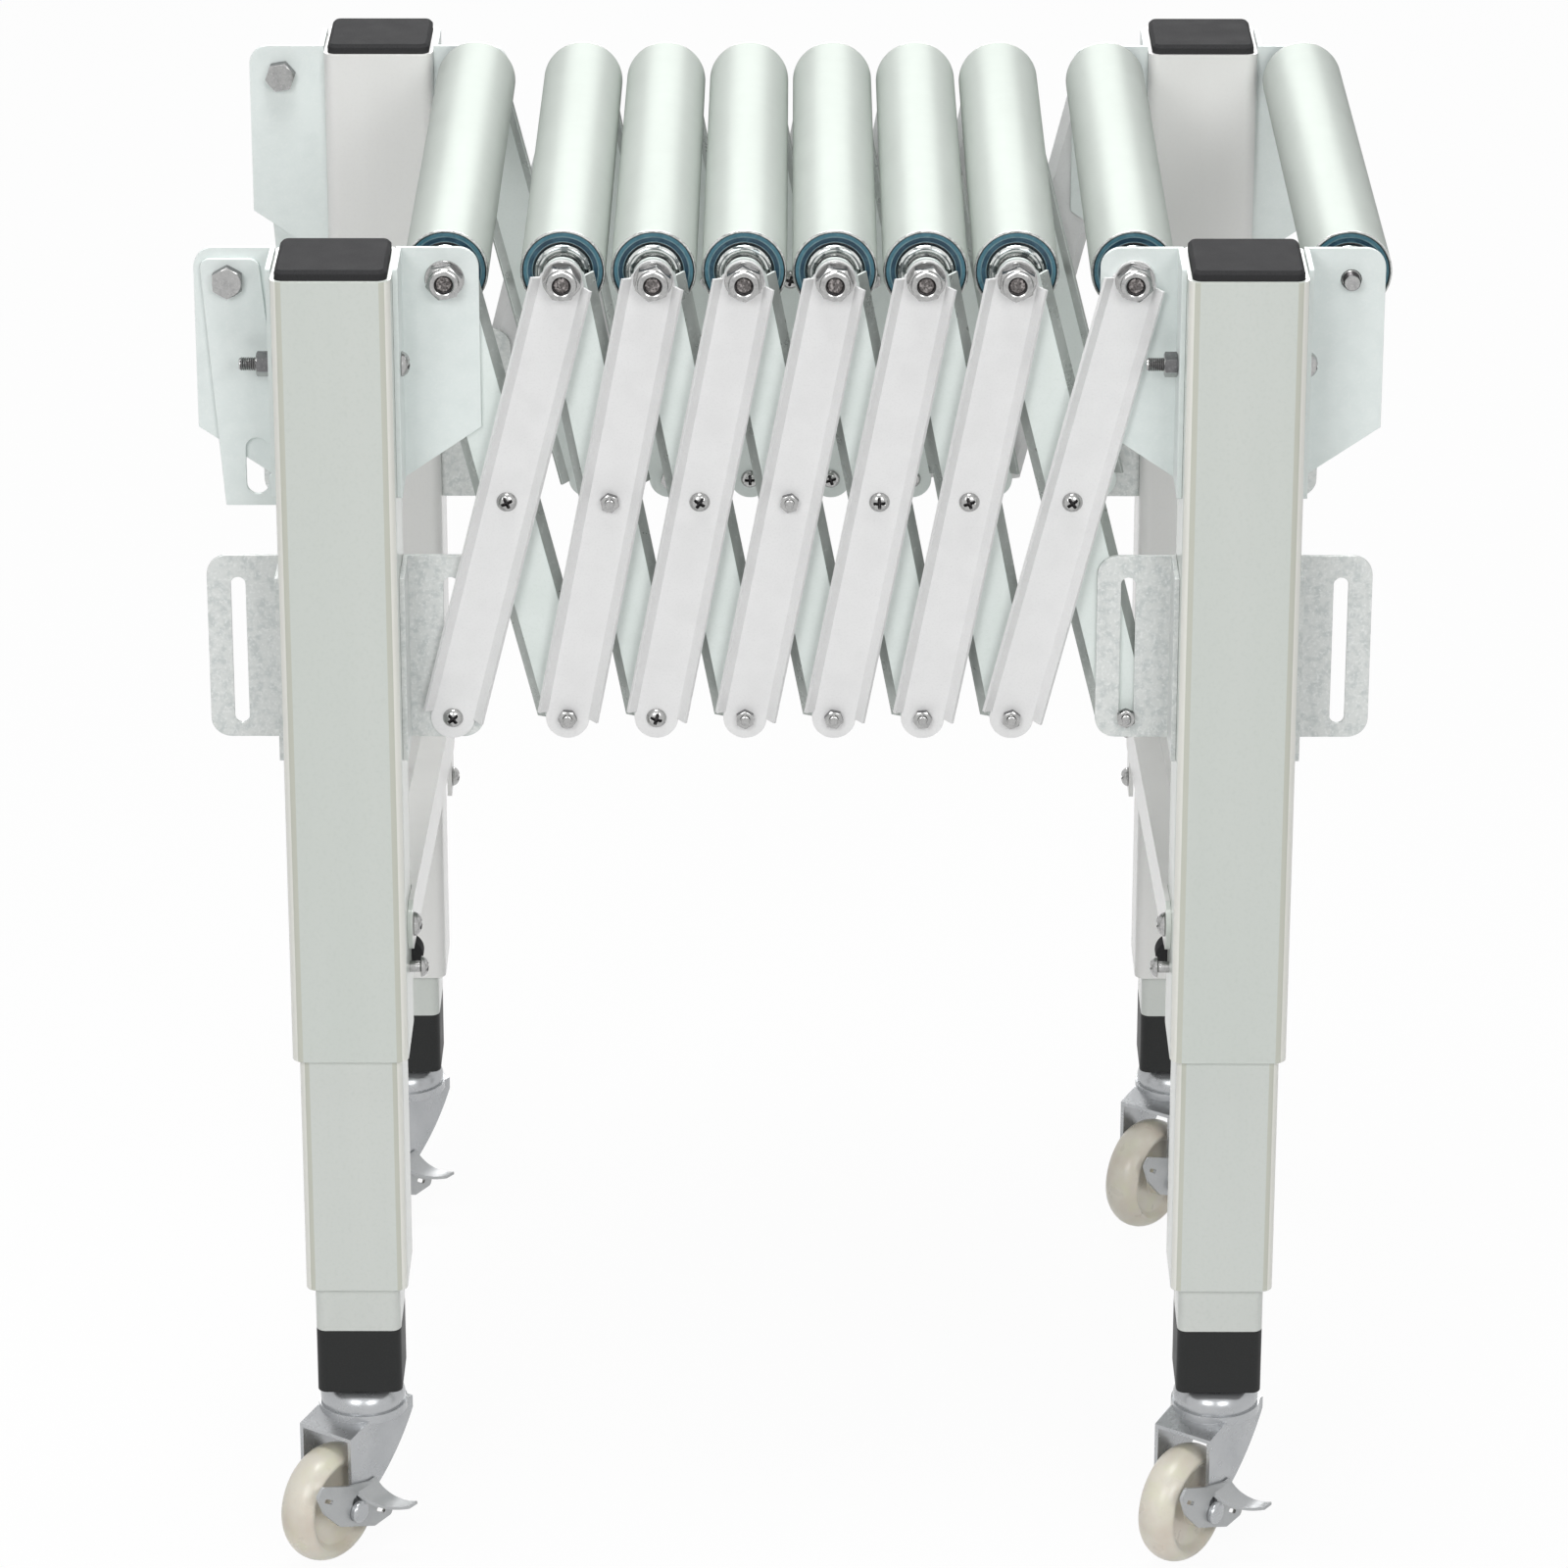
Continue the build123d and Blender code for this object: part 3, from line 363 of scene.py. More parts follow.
# Paints and plastics, metals, rubber and nylon
surface(
    "leg_paint", (201, 207, 201), 0.42,
    stains_and_painted_reflection=(
        ((208, 212, 207), 60.0, upright, 0.35, 0.7, 0.6),
        ((190, 197, 190), 2.2, even, 0.5, 0.8, 0.35),
    ),
    grains=((1.1, even, 0.012), (5.0, even, 0.02)), **lacquer,
)
# Painted highlight: a lighter cream copy of the leg paint on the outer band of the near legs' rounded
# corners
surface(
    "corner_painted_highlight", (232, 232, 225), 0.36,
    stains_and_painted_reflection=(((226, 226, 218), 30.0, upright, 0.4, 0.7, 0.5),),
    grains=((1.1, even, 0.01),), **lacquer,
)
# Painted shade: a darker copy of the leg paint on the inner band of those corners
surface(
    "corner_painted_shade", (192, 194, 182), 0.4,
    stains_and_painted_reflection=(((198, 200, 188), 30.0, upright, 0.4, 0.7, 0.5),),
    grains=((1.1, even, 0.01),), **lacquer,
)
# Painted light: a lighter, warmer copy of the leg paint for the far legs and far mid tubes, standing
# for how the light falls on them
surface(
    "far_leg_painted_light", (226, 226, 224), 0.4,
    stains_and_painted_reflection=(
        ((214, 213, 211), 70.0, upright, 0.4, 0.7, 0.5),
        ((218, 217, 215), 2.0, even, 0.5, 0.8, 0.4),
    ),
    grains=((1.1, even, 0.012),), **lacquer,
)
surface(
    "mid_paint", (203, 208, 203), 0.4,
    stains_and_painted_reflection=(
        ((212, 215, 210), 50.0, upright, 0.35, 0.7, 0.6),
        ((190, 197, 190), 2.2, even, 0.5, 0.8, 0.35),
    ),
    grains=((1.1, even, 0.012),), **lacquer,
)
surface(
    "inner_paint", (200, 205, 200), 0.36,
    stains_and_painted_reflection=(
        ((214, 216, 212), 40.0, upright, 0.35, 0.7, 0.6),
        ((188, 194, 188), 2.2, even, 0.5, 0.8, 0.35),
    ),
    grains=((1.1, even, 0.012),), **lacquer,
)
surface(
    "cap_plastic", (56, 56, 57), 0.6,
    stains_and_painted_reflection=(((47, 47, 48), 0.9, even, 0.45, 0.7, 0.6),),
    grains=((0.7, even, 0.03),), Specular_IOR_Level=0.02,
)
surface(
    "plug_plastic", (36, 37, 37), 0.5,
    stains_and_painted_reflection=(((44, 45, 45), 0.9, even, 0.45, 0.7, 0.6),),
    grains=((0.8, even, 0.02),), Specular_IOR_Level=0.25,
)
surface(
    "bracket_zinc", (226, 233, 231), 0.42, metal=0.05,
    stains_and_painted_reflection=(
        ((217, 225, 223), 12.0, even, 0.4, 0.7, 0.5),
        ((236, 240, 238), 1.6, even, 0.5, 0.8, 0.4),
    ),
    grains=((1.3, even, 0.012),),
)
surface(
    "galvanised", (216, 219, 217), 0.4, metal=0.2,
    stains_and_painted_reflection=(
        ((190, 196, 195), 5.0, even, 0.45, 0.65, 0.7),
        ((234, 236, 235), 2.0, even, 0.5, 0.7, 0.7),
    ),
    grains=((1.6, even, 0.02),),
)
surface(
    "inner_bar", (228, 235, 232), 0.45, metal=0.0,
    stains_and_painted_reflection=(
        ((220, 228, 224), 20.0, even, 0.4, 0.7, 0.5),
        ((216, 224, 220), 1.4, even, 0.5, 0.75, 0.4),
    ),
    grains=((1.2, even, 0.012),),
)
surface(
    "bar_flange", (184, 189, 186), 0.3, metal=0.5,
    stains_and_painted_reflection=(
        ((154, 160, 157), 14.0, (1, 1, 5), 0.42, 0.66, 0.6),
        ((214, 218, 215), 3.0, even, 0.56, 0.74, 0.4),
    ),
    grains=((1.2, even, 0.02),),
)
surface(
    "outer_bar", (229, 229, 229), 0.45, metal=0.1,
    stains_and_painted_reflection=(
        ((221, 221, 221), 16.0, even, 0.4, 0.7, 0.5),
        ((214, 214, 214), 1.3, even, 0.5, 0.75, 0.4),
    ),
    grains=((1.0, even, 0.012),),
)
surface(
    "bright_zinc", (176, 176, 175), 0.2, metal=1.0,
    stains_and_painted_reflection=(
        ((140, 140, 141), 3.0, even, 0.45, 0.7, 0.5),
        ((206, 206, 205), 1.0, even, 0.55, 0.75, 0.5),
    ),
    grains=((0.8, even, 0.01),),
)
# Painted dark reflection: a darker copy of the bright zinc for the hexagon facets that look up and to
# the right
surface(
    "painted_dark_reflection_zinc", (112, 112, 113), 0.24, metal=1.0,
    stains_and_painted_reflection=(
        ((84, 84, 86), 3.0, even, 0.45, 0.7, 0.6),
        ((168, 168, 168), 1.0, even, 0.56, 0.75, 0.6),
    ),
    grains=((0.8, even, 0.01),),
)
# Painted shade: dark metal for grooves, bore walls, thread roots and cross recesses, where shade falls
surface(
    "painted_recess_shade", (58, 57, 58), 0.35, metal=0.8,
    stains_and_painted_reflection=(((104, 100, 100), 1.2, even, 0.5, 0.7, 0.7),),
    grains=((0.7, even, 0.02),),
)
surface(
    "axle_end", (104, 100, 99), 0.32, metal=0.8,
    stains_and_painted_reflection=(
        ((176, 170, 168), 1.7, even, 0.5, 0.62, 0.9),
        ((60, 56, 55), 1.2, even, 0.48, 0.62, 0.8),
    ),
    grains=((0.8, even, 0.04),),
)
surface(
    "roller_steel", (206, 212, 207), 0.42, metal=0.45,
    stains_and_painted_reflection=(((200, 206, 201), 30.0, (1, 9, 1), 0.4, 0.7, 0.6),),
    grains=((2.0, even, 0.006),), Specular_IOR_Level=0.0, Specular_Tint=(0.1, 0.1, 0.1, 1.0),
)
surface(
    "rim_steel", (205, 206, 204), 0.25, metal=0.9,
    stains_and_painted_reflection=(((120, 122, 120), 3.0, even, 0.45, 0.7, 0.7),),
    grains=((0.8, even, 0.012),),
)
surface(
    "seal_rubber", (36, 66, 84), 0.34,
    stains_and_painted_reflection=(
        ((66, 104, 122), 7.0, even, 0.45, 0.7, 0.7),
        ((24, 44, 58), 2.0, even, 0.5, 0.7, 0.5),
    ),
    grains=((0.9, even, 0.02),),
)
surface(
    "seal_band", (62, 112, 128), 0.34,
    stains_and_painted_reflection=(
        ((88, 136, 148), 6.0, even, 0.45, 0.7, 0.6),
        ((44, 84, 98), 2.0, even, 0.5, 0.7, 0.5),
    ),
    grains=((0.9, even, 0.02),),
)
surface(
    "seal_ring", (120, 152, 160), 0.3,
    stains_and_painted_reflection=(((70, 100, 112), 5.0, even, 0.45, 0.7, 0.6),),
    grains=((0.9, even, 0.02),),
)
# Painted dark reflection: darker, spotted steel for some steps of the roller hub's dome
surface(
    "hub_painted_dark_reflection", (92, 98, 98), 0.18, metal=1.0,
    stains_and_painted_reflection=(((150, 156, 154), 5.0, even, 0.48, 0.68, 0.7),),
    grains=((1.0, even, 0.008),),
)
# Chrome of the roller hubs, with large dark patches of painted reflection
surface(
    "hub_chrome_and_painted_reflection", (214, 217, 215), 0.12, metal=1.0,
    stains_and_painted_reflection=(((96, 104, 106), 6.0, even, 0.52, 0.6, 0.85),),
    grains=((1.0, even, 0.008),),
)
surface(
    "caster_zinc", (182, 184, 186), 0.26, metal=0.65,
    stains_and_painted_reflection=(
        ((160, 163, 166), 26.0, even, 0.4, 0.7, 0.5),
        ((196, 198, 199), 1.2, even, 0.5, 0.8, 0.3),
    ),
    grains=((1.2, even, 0.008),),
)
surface(
    "pedal_zinc", (176, 178, 179), 0.34, metal=0.5,
    stains_and_painted_reflection=(
        ((162, 164, 166), 20.0, even, 0.4, 0.65, 0.5),
        ((186, 188, 188), 1.2, even, 0.5, 0.7, 0.4),
    ),
    grains=((1.2, even, 0.01),),
)
surface(
    "wheel_ivory", (222, 217, 204), 0.3,
    stains_and_painted_reflection=(
        ((208, 194, 180), 24.0, even, 0.44, 0.68, 0.6),
        ((216, 216, 188), 17.0, even, 0.5, 0.74, 0.6),
        ((214, 208, 195), 2.0, even, 0.52, 0.72, 0.4),
    ),
    grains=((3.0, even, 0.01),), Subsurface_Weight=0.15, Subsurface_Radius=(0.004, 0.003, 0.002),
)

body_of_node = {}
for body_name, node_names in record["behaviour"]["bodies"].items():
    for node_name in node_names:
        body_of_node[node_name] = body_name


def finish_faces(piece, default, rules=()):
    """Give a piece its material, and others to the faces that a rule picks by place and normal."""
    names = [default] + [name for name, _ in rules]
    piece.data.materials.clear()
    for name in names:
        piece.data.materials.append(materials[name])
    for face in piece.data.polygons:
        face.material_index = 0
        for number, (_, test) in enumerate(rules, start=1):
            if test(face.center / MM, face.normal):
                face.material_index = number


def stand_in(piece, slot, *nodes):
    """Show a piece in place of CAD nodes of one body, and let it ride with that body."""
    if piece.name not in scene.collection.objects:
        scene.collection.objects.link(piece)
    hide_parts(*nodes)
    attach(piece, body_of_node[nodes[0]])
    return piece


def short_islands(work, height):
    """The points of the parts of a mesh that stand less than height in Z."""
    found = []
    unseen = set(work.verts)
    while unseen:
        island = [unseen.pop()]
        for point in island:
            for edge in point.link_edges:
                other = edge.other_vert(point)
                if other in unseen:
                    unseen.remove(other)
                    island.append(other)
        levels = [point.co.z for point in island]
        if max(levels) - min(levels) < height * MM:
            found += island
    return found


def trim_bar_end(work, top_x, base_x):
    """Narrow a bar's upper end round its axle hole, as the photograph shows."""
    centre = Vector((top_x, 0, axle_z))
    along_bar = Vector((top_x - base_x, 0, axle_z - base_pivot_z)).normalized()
    for point in work.verts:
        place = point.co / MM
        offset = Vector((place.x, 0, place.z)) - centre
        along = offset.dot(along_bar)
        across = (offset - along_bar * along).length
        if along > bar_end_from and across < bar_end_across and offset.length > bar_end_radius:
            moved = centre + offset * (bar_end_radius / offset.length)
            point.co = Vector((moved.x, place.y, moved.z)) * MM


def rounded(node, slot, width=edge_round, tallest_dropped=0.0, bar_ends=None):
    """A copy of a node's mesh with its sharp edges rounded off, which stands for the node."""
    mesh = frame["nodes"][node].data.copy()
    if "custom_normal" in mesh.attributes:
        mesh.attributes.remove(mesh.attributes["custom_normal"])
    work = bmesh.new()
    work.from_mesh(mesh)
    bmesh.ops.remove_doubles(work, verts=work.verts, dist=weld * MM)
    if tallest_dropped:
        bmesh.ops.delete(work, geom=short_islands(work, tallest_dropped), context="VERTS")
    if bar_ends:
        trim_bar_end(work, *bar_ends)
    flat = radians(flat_angle)
    bmesh.ops.dissolve_limit(work, angle_limit=flat, verts=work.verts, edges=work.edges)
    for face in work.faces:
        face.smooth = True
    work.to_mesh(mesh)
    work.free()
    piece = bpy.data.objects.new(node + "_dressed", mesh)
    scene.collection.objects.link(piece)
    bevel = piece.modifiers.new("edges", "BEVEL")
    bevel.width = width * MM
    bevel.segments = edge_segments
    bevel.limit_method = "ANGLE"
    bevel.angle_limit = radians(sharp_angle)
    bevel.harden_normals = True
    bevel.use_clamp_overlap = True
    evaluated = piece.evaluated_get(bpy.context.evaluated_depsgraph_get())
    applied = bpy.data.meshes.new_from_object(evaluated)
    piece.modifiers.clear()
    piece.data = applied
    return stand_in(piece, slot, node)


def facing(place, way, turn=0.0):
    """A frame in millimetres at place whose Z points along way, turned about it by some degrees."""
    aim = Vector(way).to_track_quat("Z", "Y").to_matrix().to_4x4()
    spin = Matrix.Rotation(radians(turn), 4, "Z")
    return Matrix.Translation(Vector(place) * MM) @ aim @ spin @ Matrix.Scale(MM, 4)


def at(value, angle):
    """A row's entry at an angle: a function's result, or the plain value."""
    return value(angle) if callable(value) else value


class Shape:
    """Turned forms gathered into one piece."""

    def __init__(self):
        self.work = bmesh.new()
        self.names = []

    def slot_of(self, name):
        if name not in self.names:
            self.names.append(name)
        return self.names.index(name)

    def turned(self, place, rows, sides=round_sides, closed=False):
        """A form about Z through rows of radius, height and material.

        Each of the three is a plain value or a function of the angle.
        """
        angles = [2 * pi * step / sides for step in range(sides)]
        rings = []
        for radius, height, _ in rows:
            if radius == 0:
                rings.append([self.work.verts.new(place @ Vector((0, 0, at(height, 0.0))))] * sides)
                continue
            ring = []
            for angle in angles:
                reach = at(radius, angle)
                point = Vector((reach * cos(angle), reach * sin(angle), at(height, angle)))
                ring.append(self.work.verts.new(place @ point))
            rings.append(ring)
        names = [name for _, _, name in rows]
        if closed:
            rings.append(rings[0])
            names.append(names[0])
        for low, high, name in zip(rings, rings[1:], names[1:]):
            for step, angle in enumerate(angles):
                after = (step + 1) % sides
                corners = list(dict.fromkeys((low[step], low[after], high[after], high[step])))
                face = self.work.faces.new(corners)
                face.smooth = True
                face.material_index = self.slot_of(at(name, angle))

    def piece(self, name):
        """The gathered forms as an object, with crisp edges where they turn sharply."""
        bmesh.ops.recalc_face_normals(self.work, faces=self.work.faces)
        mesh = bpy.data.meshes.new(name)
        self.work.to_mesh(mesh)
        self.work.free()
        mesh.set_sharp_from_angle(angle=radians(crisp_angle))
        for material_name in self.names:
            mesh.materials.append(materials[material_name])
        return bpy.data.objects.new(name, mesh)


# Fasteners
def hexagon(flats):
    """The reach of a hexagon's side at an angle, with a corner at zero."""
    return lambda angle: flats / 2 / cos(angle % (pi / 3) - pi / 6)


def hex_rows(flats, height, turn):
    """A hexagon's rows, with the curved chamfers that turning leaves at both ends."""
    reach = hexagon(flats)
    face = flats / 2 * chamfer_share

    def slope(angle):
        """How far the chamfer cuts down the side, which is most at the corners."""
        return (reach(angle) - face) * chamfer_slope

    def facet(angle):
        """Facets that look up and to the right get painted dark reflection, a darker copy of the zinc.
        """
        middle = angle // (pi / 3) * (pi / 3) + pi / 6 + radians(turn)
        return "painted_dark_reflection_zinc" if cos(middle - shaded_way) > shaded_from else "bright_zinc"

    name = "bright_zinc"
    return [
        (0, 0.0, name), (face, 0.0, name), (reach, slope, facet),
        (reach, lambda angle: height - slope(angle), facet), (face, height, name),
    ]


def thread_rows(radius, start, length, name="bright_zinc"):
    """Rows of crests and roots that end in a chamfered tip, the roots in painted shade."""
    rows = [(radius, start, name)]
    half_pitch = thread_pitch / 2
    turns = int((length - tip_chamfer) / half_pitch)
    for turn in range(1, turns + 1):
        root = radius - (thread_depth if turn % 2 else 0.0)
        # Every root row carries painted shade
        rows.append((root, start + turn * half_pitch, "painted_recess_shade" if turn % 2 else name))
    tip = radius - tip_chamfer
    return rows + [
        (radius - thread_depth, start + length - tip_chamfer, name),
        (tip, start + length, name),
        (0, start + length, name),
    ]


def rod(shape, start, way, radius, length, name="bright_zinc"):
    """A plain rod, chamfered at both ends."""
    tip = min(tip_chamfer, radius / edge_parts)
    shape.turned(facing(start, way), [
        (0, 0.0, name), (radius - tip, 0.0, name), (radius, tip, name),
        (radius, length - tip, name), (radius - tip, length, name), (0, length, name),
    ])


def collar(shape, start, way, outer, inner, height, name="bright_zinc"):
    """A ring with softened edges: a washer, spacer or bush."""
    soft = min(ring_soft, height / edge_parts)
    shape.turned(facing(start, way), [
        (inner, 0.0, name), (outer - soft, 0.0, name), (outer, soft, name),
        (outer, height - soft, name), (outer - soft, height, name), (inner, height, name),
    ], closed=True)


def axle_nut_set(shape, x, z, seat_y, side, turn):
    """Washer, flanged lock nut and its round collar, with the axle's end sunk in the bore."""
    way = (0, side, 0)
    flats, height = axle_nut
    collar(shape, (x, side * seat_y, z), way, washer_radius, axle_radius, washer_sheet)
    top = height + collar_height
    end = top - axle_sunk
    rows = hex_rows(flats, height, turn)
    rows.append((collar_radius + collar_root, height + collar_root, "bright_zinc"))
    rows += [(radius + out, top + up, name) for radius, out, up, name in collar_rows]
    rows += [(collar_bore + out, end + up, name) for out, up, name in sunk_end_rows]
    rows.append((collar_bore * sunk_crown_share, end + sunk_crown_height, "axle_end"))
    rows.append((0, end + sunk_middle_height, "axle_end"))
    place = facing((x, side * (seat_y + washer_sheet), z), way, turn)
    shape.turned(place, rows, sides=nut_sides)


def cross_rows(radius, height):
    """A domed head's rows, with a cross recess pressed into it whose deeper part is in painted shade.
    """
    name = "bright_zinc"
    rows = [(0, 0.0, name), (radius - head_edge, 0.0, name), (radius, head_rim, name)]
    arm_length = radius * cross_reach_share
    arm_half = radius * cross_width_share / 2
    depth = height * cross_depth_share

    def dome(reach):
        """The head's height at a distance from its middle."""
        share = min(1.0, reach / radius)
        return height * (1 - share ** dome_power) ** dome_bend

    def sunk(reach, angle):
        """The share of the recess's depth at a place, from 0 outside it to 1 on its floor."""
        across = min(abs(reach * cos(angle)), abs(reach * sin(angle)))
        wall = min(1.0, max(0.0, (arm_half - across) / arm_half * cross_wall_slope))
        end = min(1.0, max(0.0, (arm_length - reach) / cross_end_length))
        return wall * end

    for step in range(1, cross_rows_count):
        share = 1 - step / cross_rows_count
        reach = radius * (1 - (1 - share) ** dome_row_power)

        def level(angle, reach=reach):
            return max(head_rim, dome(reach)) - depth * sunk(reach, angle)

        # The deeper part of the recess, and its floor, carry painted shade
        def finish(angle, reach=reach):
            return "painted_recess_shade" if sunk(reach, angle) > cross_shade_share else name

        rows.append((reach, level, finish))
    return rows + [(0, dome(0.0) - depth, "painted_recess_shade")]


def domed_head(shape, start, way, radius, height, turn=head_turn):
    """A domed screw head with a cross recess."""
    shape.turned(facing(start, way, turn), cross_rows(radius, height), sides=cross_sides)


def thread_end(shape, start, way, radius, length):
    """The threaded end of a bolt, from inside its nut to its tip."""
    shape.turned(facing(start, way), [(0, 0.0, "bright_zinc")] + thread_rows(radius, 0.0, length))


def hex_nut(shape, start, way, flats, height, turn):
    """A plain hexagon nut or bolt head."""
    rows = hex_rows(flats, height, turn) + [(0, height, "bright_zinc")]
    shape.turned(facing(start, way, turn), rows, sides=nut_sides)


def pivot_bolt(shape, x, z, side, head_outside, outside, inside, ring_radius, turn):
    """A lattice pivot: bolt, nut and the ring between its bars.

    outside and inside are the faces that the head and the nut sit on, or the other way round.
    """
    head_radius, head_height = pivot_head
    flats, nut_height = pivot_nut
    head_y, nut_y, way = (outside, inside, side) if head_outside else (inside, outside, -side)
    head_y += seat if head_outside else -seat
    nut_y += -seat if head_outside else seat
    domed_head(shape, (x, side * head_y, z), (0, way, 0), head_radius, head_height, turn)
    shank = abs(head_y - nut_y) + nut_height / 2
    rod(shape, (x, side * head_y, z), (0, -way, 0), pivot_radius, shank)
    hex_nut(shape, (x, side * nut_y, z), (0, -way, 0), flats, nut_height, turn)
    end = side * nut_y - way * nut_height / 2
    thread_end(shape, (x, end, z), (0, -way, 0), pivot_radius, nut_height / 2 + pivot_tail)
    ring = (x, side * bracket_back, z)
    collar(shape, ring, (0, side, 0), ring_radius, pivot_radius, bracket_sheet)


def axle(shape, x, seat_y, turn):
    """A roller's axle with both nut sets."""
    end = seat_y + washer_sheet + axle_nut[1] / 2
    rod(shape, (x, -end, axle_z), (0, 1, 0), axle_radius, 2 * end)
    for side in (-1, 1):
        axle_nut_set(shape, x, axle_z, seat_y, side, turn)


def spacers(shape, x, until):
    """The spacers on an axle, from the roller's hubs out to a distance from the middle."""
    length = until - hub_face
    for side in (-1, 1):
        start = (x, side * hub_face, axle_z)
        collar(shape, start, (0, side, 0), spacer_radius, axle_radius, length)


def axle_set(number):
    """One axle of the lattice with its pivots, numbered from zero."""
    shape = Shape()
    x = axle_x[number + 1]
    base_x = axle_x[number]
    mid_x = (base_x + x) / 2
    first = number == 0
    last = number == cells - 1
    turn = number * axle_nut_step
    base_back = bracket_back if first else inner_bar_back
    base_ring = slot_bush_radius if first else pivot_ring_radius
    axle(shape, x, outer_bar_face + seat, turn)
    spacers(shape, x, bracket_back - seat if last else inner_bar_back - seat)
    for side in (-1, 1):
        if not last:
            ring = (x, side * bracket_back, axle_z)
            collar(shape, ring, (0, side, 0), ring_between_radius, axle_radius, bracket_sheet)
        pivot_bolt(shape, mid_x, mid_pivot_z, side, heads_outside[number],
                   outer_bar_face, inner_bar_back, pivot_ring_radius, turn + mid_pivot_turn)
        pivot_bolt(shape, base_x, base_pivot_z, side, base_heads_outside[number],
                   outer_bar_face, base_back, base_ring, turn + base_pivot_turn)
    return shape.piece(f"axle_fasteners_{number + 1}")


def leg_bolts(shape, hand):
    """The bracket bolts through both legs of one end, their heads to the right."""
    flats, height = leg_nut
    head_radius, head_height = leg_bolt_head
    outside = leg_half + bracket_sheet + 2 * seat
    for side in (-1, 1):
        head = (hand * leg_x + outside, side * leg_y, leg_bolt_z)
        tail = (hand * leg_x - outside, side * leg_y, leg_bolt_z)
        domed_head(shape, head, (1, 0, 0), head_radius, head_height)
        rod(shape, head, (-1, 0, 0), leg_bolt_radius, 2 * outside + height / 2)
        hex_nut(shape, tail, (-1, 0, 0), flats, height, leg_nut_turn * side)
        thread_end(shape, (tail[0] - height / 2, tail[1], tail[2]), (-1, 0, 0),
                   leg_bolt_radius, height / 2 + leg_bolt_tail)


def brace_bolts(shape, hand):
    """The braces' bolts and the height lock screws of one end, driven from the inner side."""
    head_radius, head_height = leg_bolt_head
    lock_head_radius, lock_height = lock_head
    inner = leg_x - leg_half - brace_sheet - 2 * seat
    way = (-hand, 0, 0)
    inward = (hand, 0, 0)
    for y, z in ((-leg_y, brace_near_z), (leg_y, brace_far_z)):
        domed_head(shape, (hand * inner, y, z), way, head_radius, head_height)
        rod(shape, (hand * inner, y, z), inward, leg_bolt_radius, brace_grip)
    for y, z, reach_x, length in (
        (-leg_y, lock_near_z, lock_near_x, lock_near_length),
        (lock_far_y, lock_far_z, inner, lock_far_length),
    ):
        domed_head(shape, (hand * reach_x, y, z), way, lock_head_radius, lock_height)
        rod(shape, (hand * reach_x, y, z), inward, lock_radius, length)


def left_fasteners():
    """The first roller's axle, the hooks' bolts and the left frame's bolts."""
    shape = Shape()
    x = axle_x[0]
    axle(shape, x, bracket_face + seat, frame_axle_turn)
    spacers(shape, x, inner_bar_back - seat)
    leg_bolts(shape, -1)
    brace_bolts(shape, -1)
    hook_x = -ninth_axle_x
    outside = bracket_face + hook_sheet + 3 * seat
    for side in (-1, 1):
        head = (hook_x, side * outside, axle_z)
        nut = (hook_x, side * (bracket_back - seat), axle_z)
        hex_nut(shape, head, (0, side, 0), hook_bolt_flats, hook_bolt_head, hook_bolt_turn)
        rod(shape, head, (0, -side, 0), axle_radius, hook_shank)
        hex_nut(shape, nut, (0, -side, 0), hook_bolt_flats, hook_nut_height, hook_nut_turn)
    return shape.piece("left_frame_fasteners")


def right_fasteners():
    """The ninth roller's axle, with threaded studs beyond the brackets, and the frame's bolts."""
    shape = Shape()
    x = ninth_axle_x
    rod(shape, (x, -bracket_face, axle_z), (0, 1, 0), axle_radius, 2 * bracket_face)
    spacers(shape, x, bracket_back - seat)
    for side in (-1, 1):
        start = (x, side * (bracket_face - stud_sunk), axle_z)
        thread_end(shape, start, (0, side, 0), stud_radius, stud_length + stud_sunk)
    leg_bolts(shape, 1)
    brace_bolts(shape, 1)
    return shape.piece("right_frame_fasteners")


for number in range(cells):
    stand_in(axle_set(number), "bright_fasteners", f"axle_set_{number + 1}")
stand_in(left_fasteners(), "bright_fasteners", "left_fasteners")
stand_in(right_fasteners(), "bright_fasteners", "right_fasteners")


# Rollers
def roller_end_rows():
    """Half a roller's section from its bore to its rim: domed hub, lip, seal rings and rolled rim."""
    bore = axle_radius + hub_clearance
    rows = [
        (bore, hub_back, "hub_chrome_and_painted_reflection"),
        (bore, roller_end, "hub_chrome_and_painted_reflection"),
        (hub_neck - hub_neck_edge, roller_end, "hub_chrome_and_painted_reflection"),
    ]
    middle = (hub_neck + hub_radius) / 2
    half = (hub_radius - hub_neck) / 2
    for step in range(dome_steps + 1):
        angle = pi * step / dome_steps
        # The listed dome steps carry painted dark reflection
        name = "hub_painted_dark_reflection" if step in dome_painted_dark_reflection else "hub_chrome_and_painted_reflection"
        rows.append((middle - half * cos(angle), hub_crest - hub_rise * (1 - sin(angle)), name))
    return rows + [(radius + out, height + up, name) for radius, out, height, up, name in seal_and_rim]


def roller(number, x):
    """A roller's tube with both its ends, as one closed section turned about its axle."""
    shape = Shape()
    half = roller_end_rows()
    # A face takes the material of the row it ends at, so the mirrored half takes the row before
    back = []
    for (radius, height, _), (_, _, name) in zip(half, half[1:] + half[-1:]):
        back.append((radius, -height, name))
    back[-1] = (*back[-1][:2], "roller_steel")
    place = facing((x, 0, axle_z), (0, -1, 0))
    shape.turned(place, half + back[::-1], sides=roller_sides, closed=True)
    return shape.piece(f"roller_dressed_{number}")


for number, x in enumerate((*axle_x, ninth_axle_x), start=1):
    stand_in(roller(number, x), "roller_steel", f"roller_{number}")

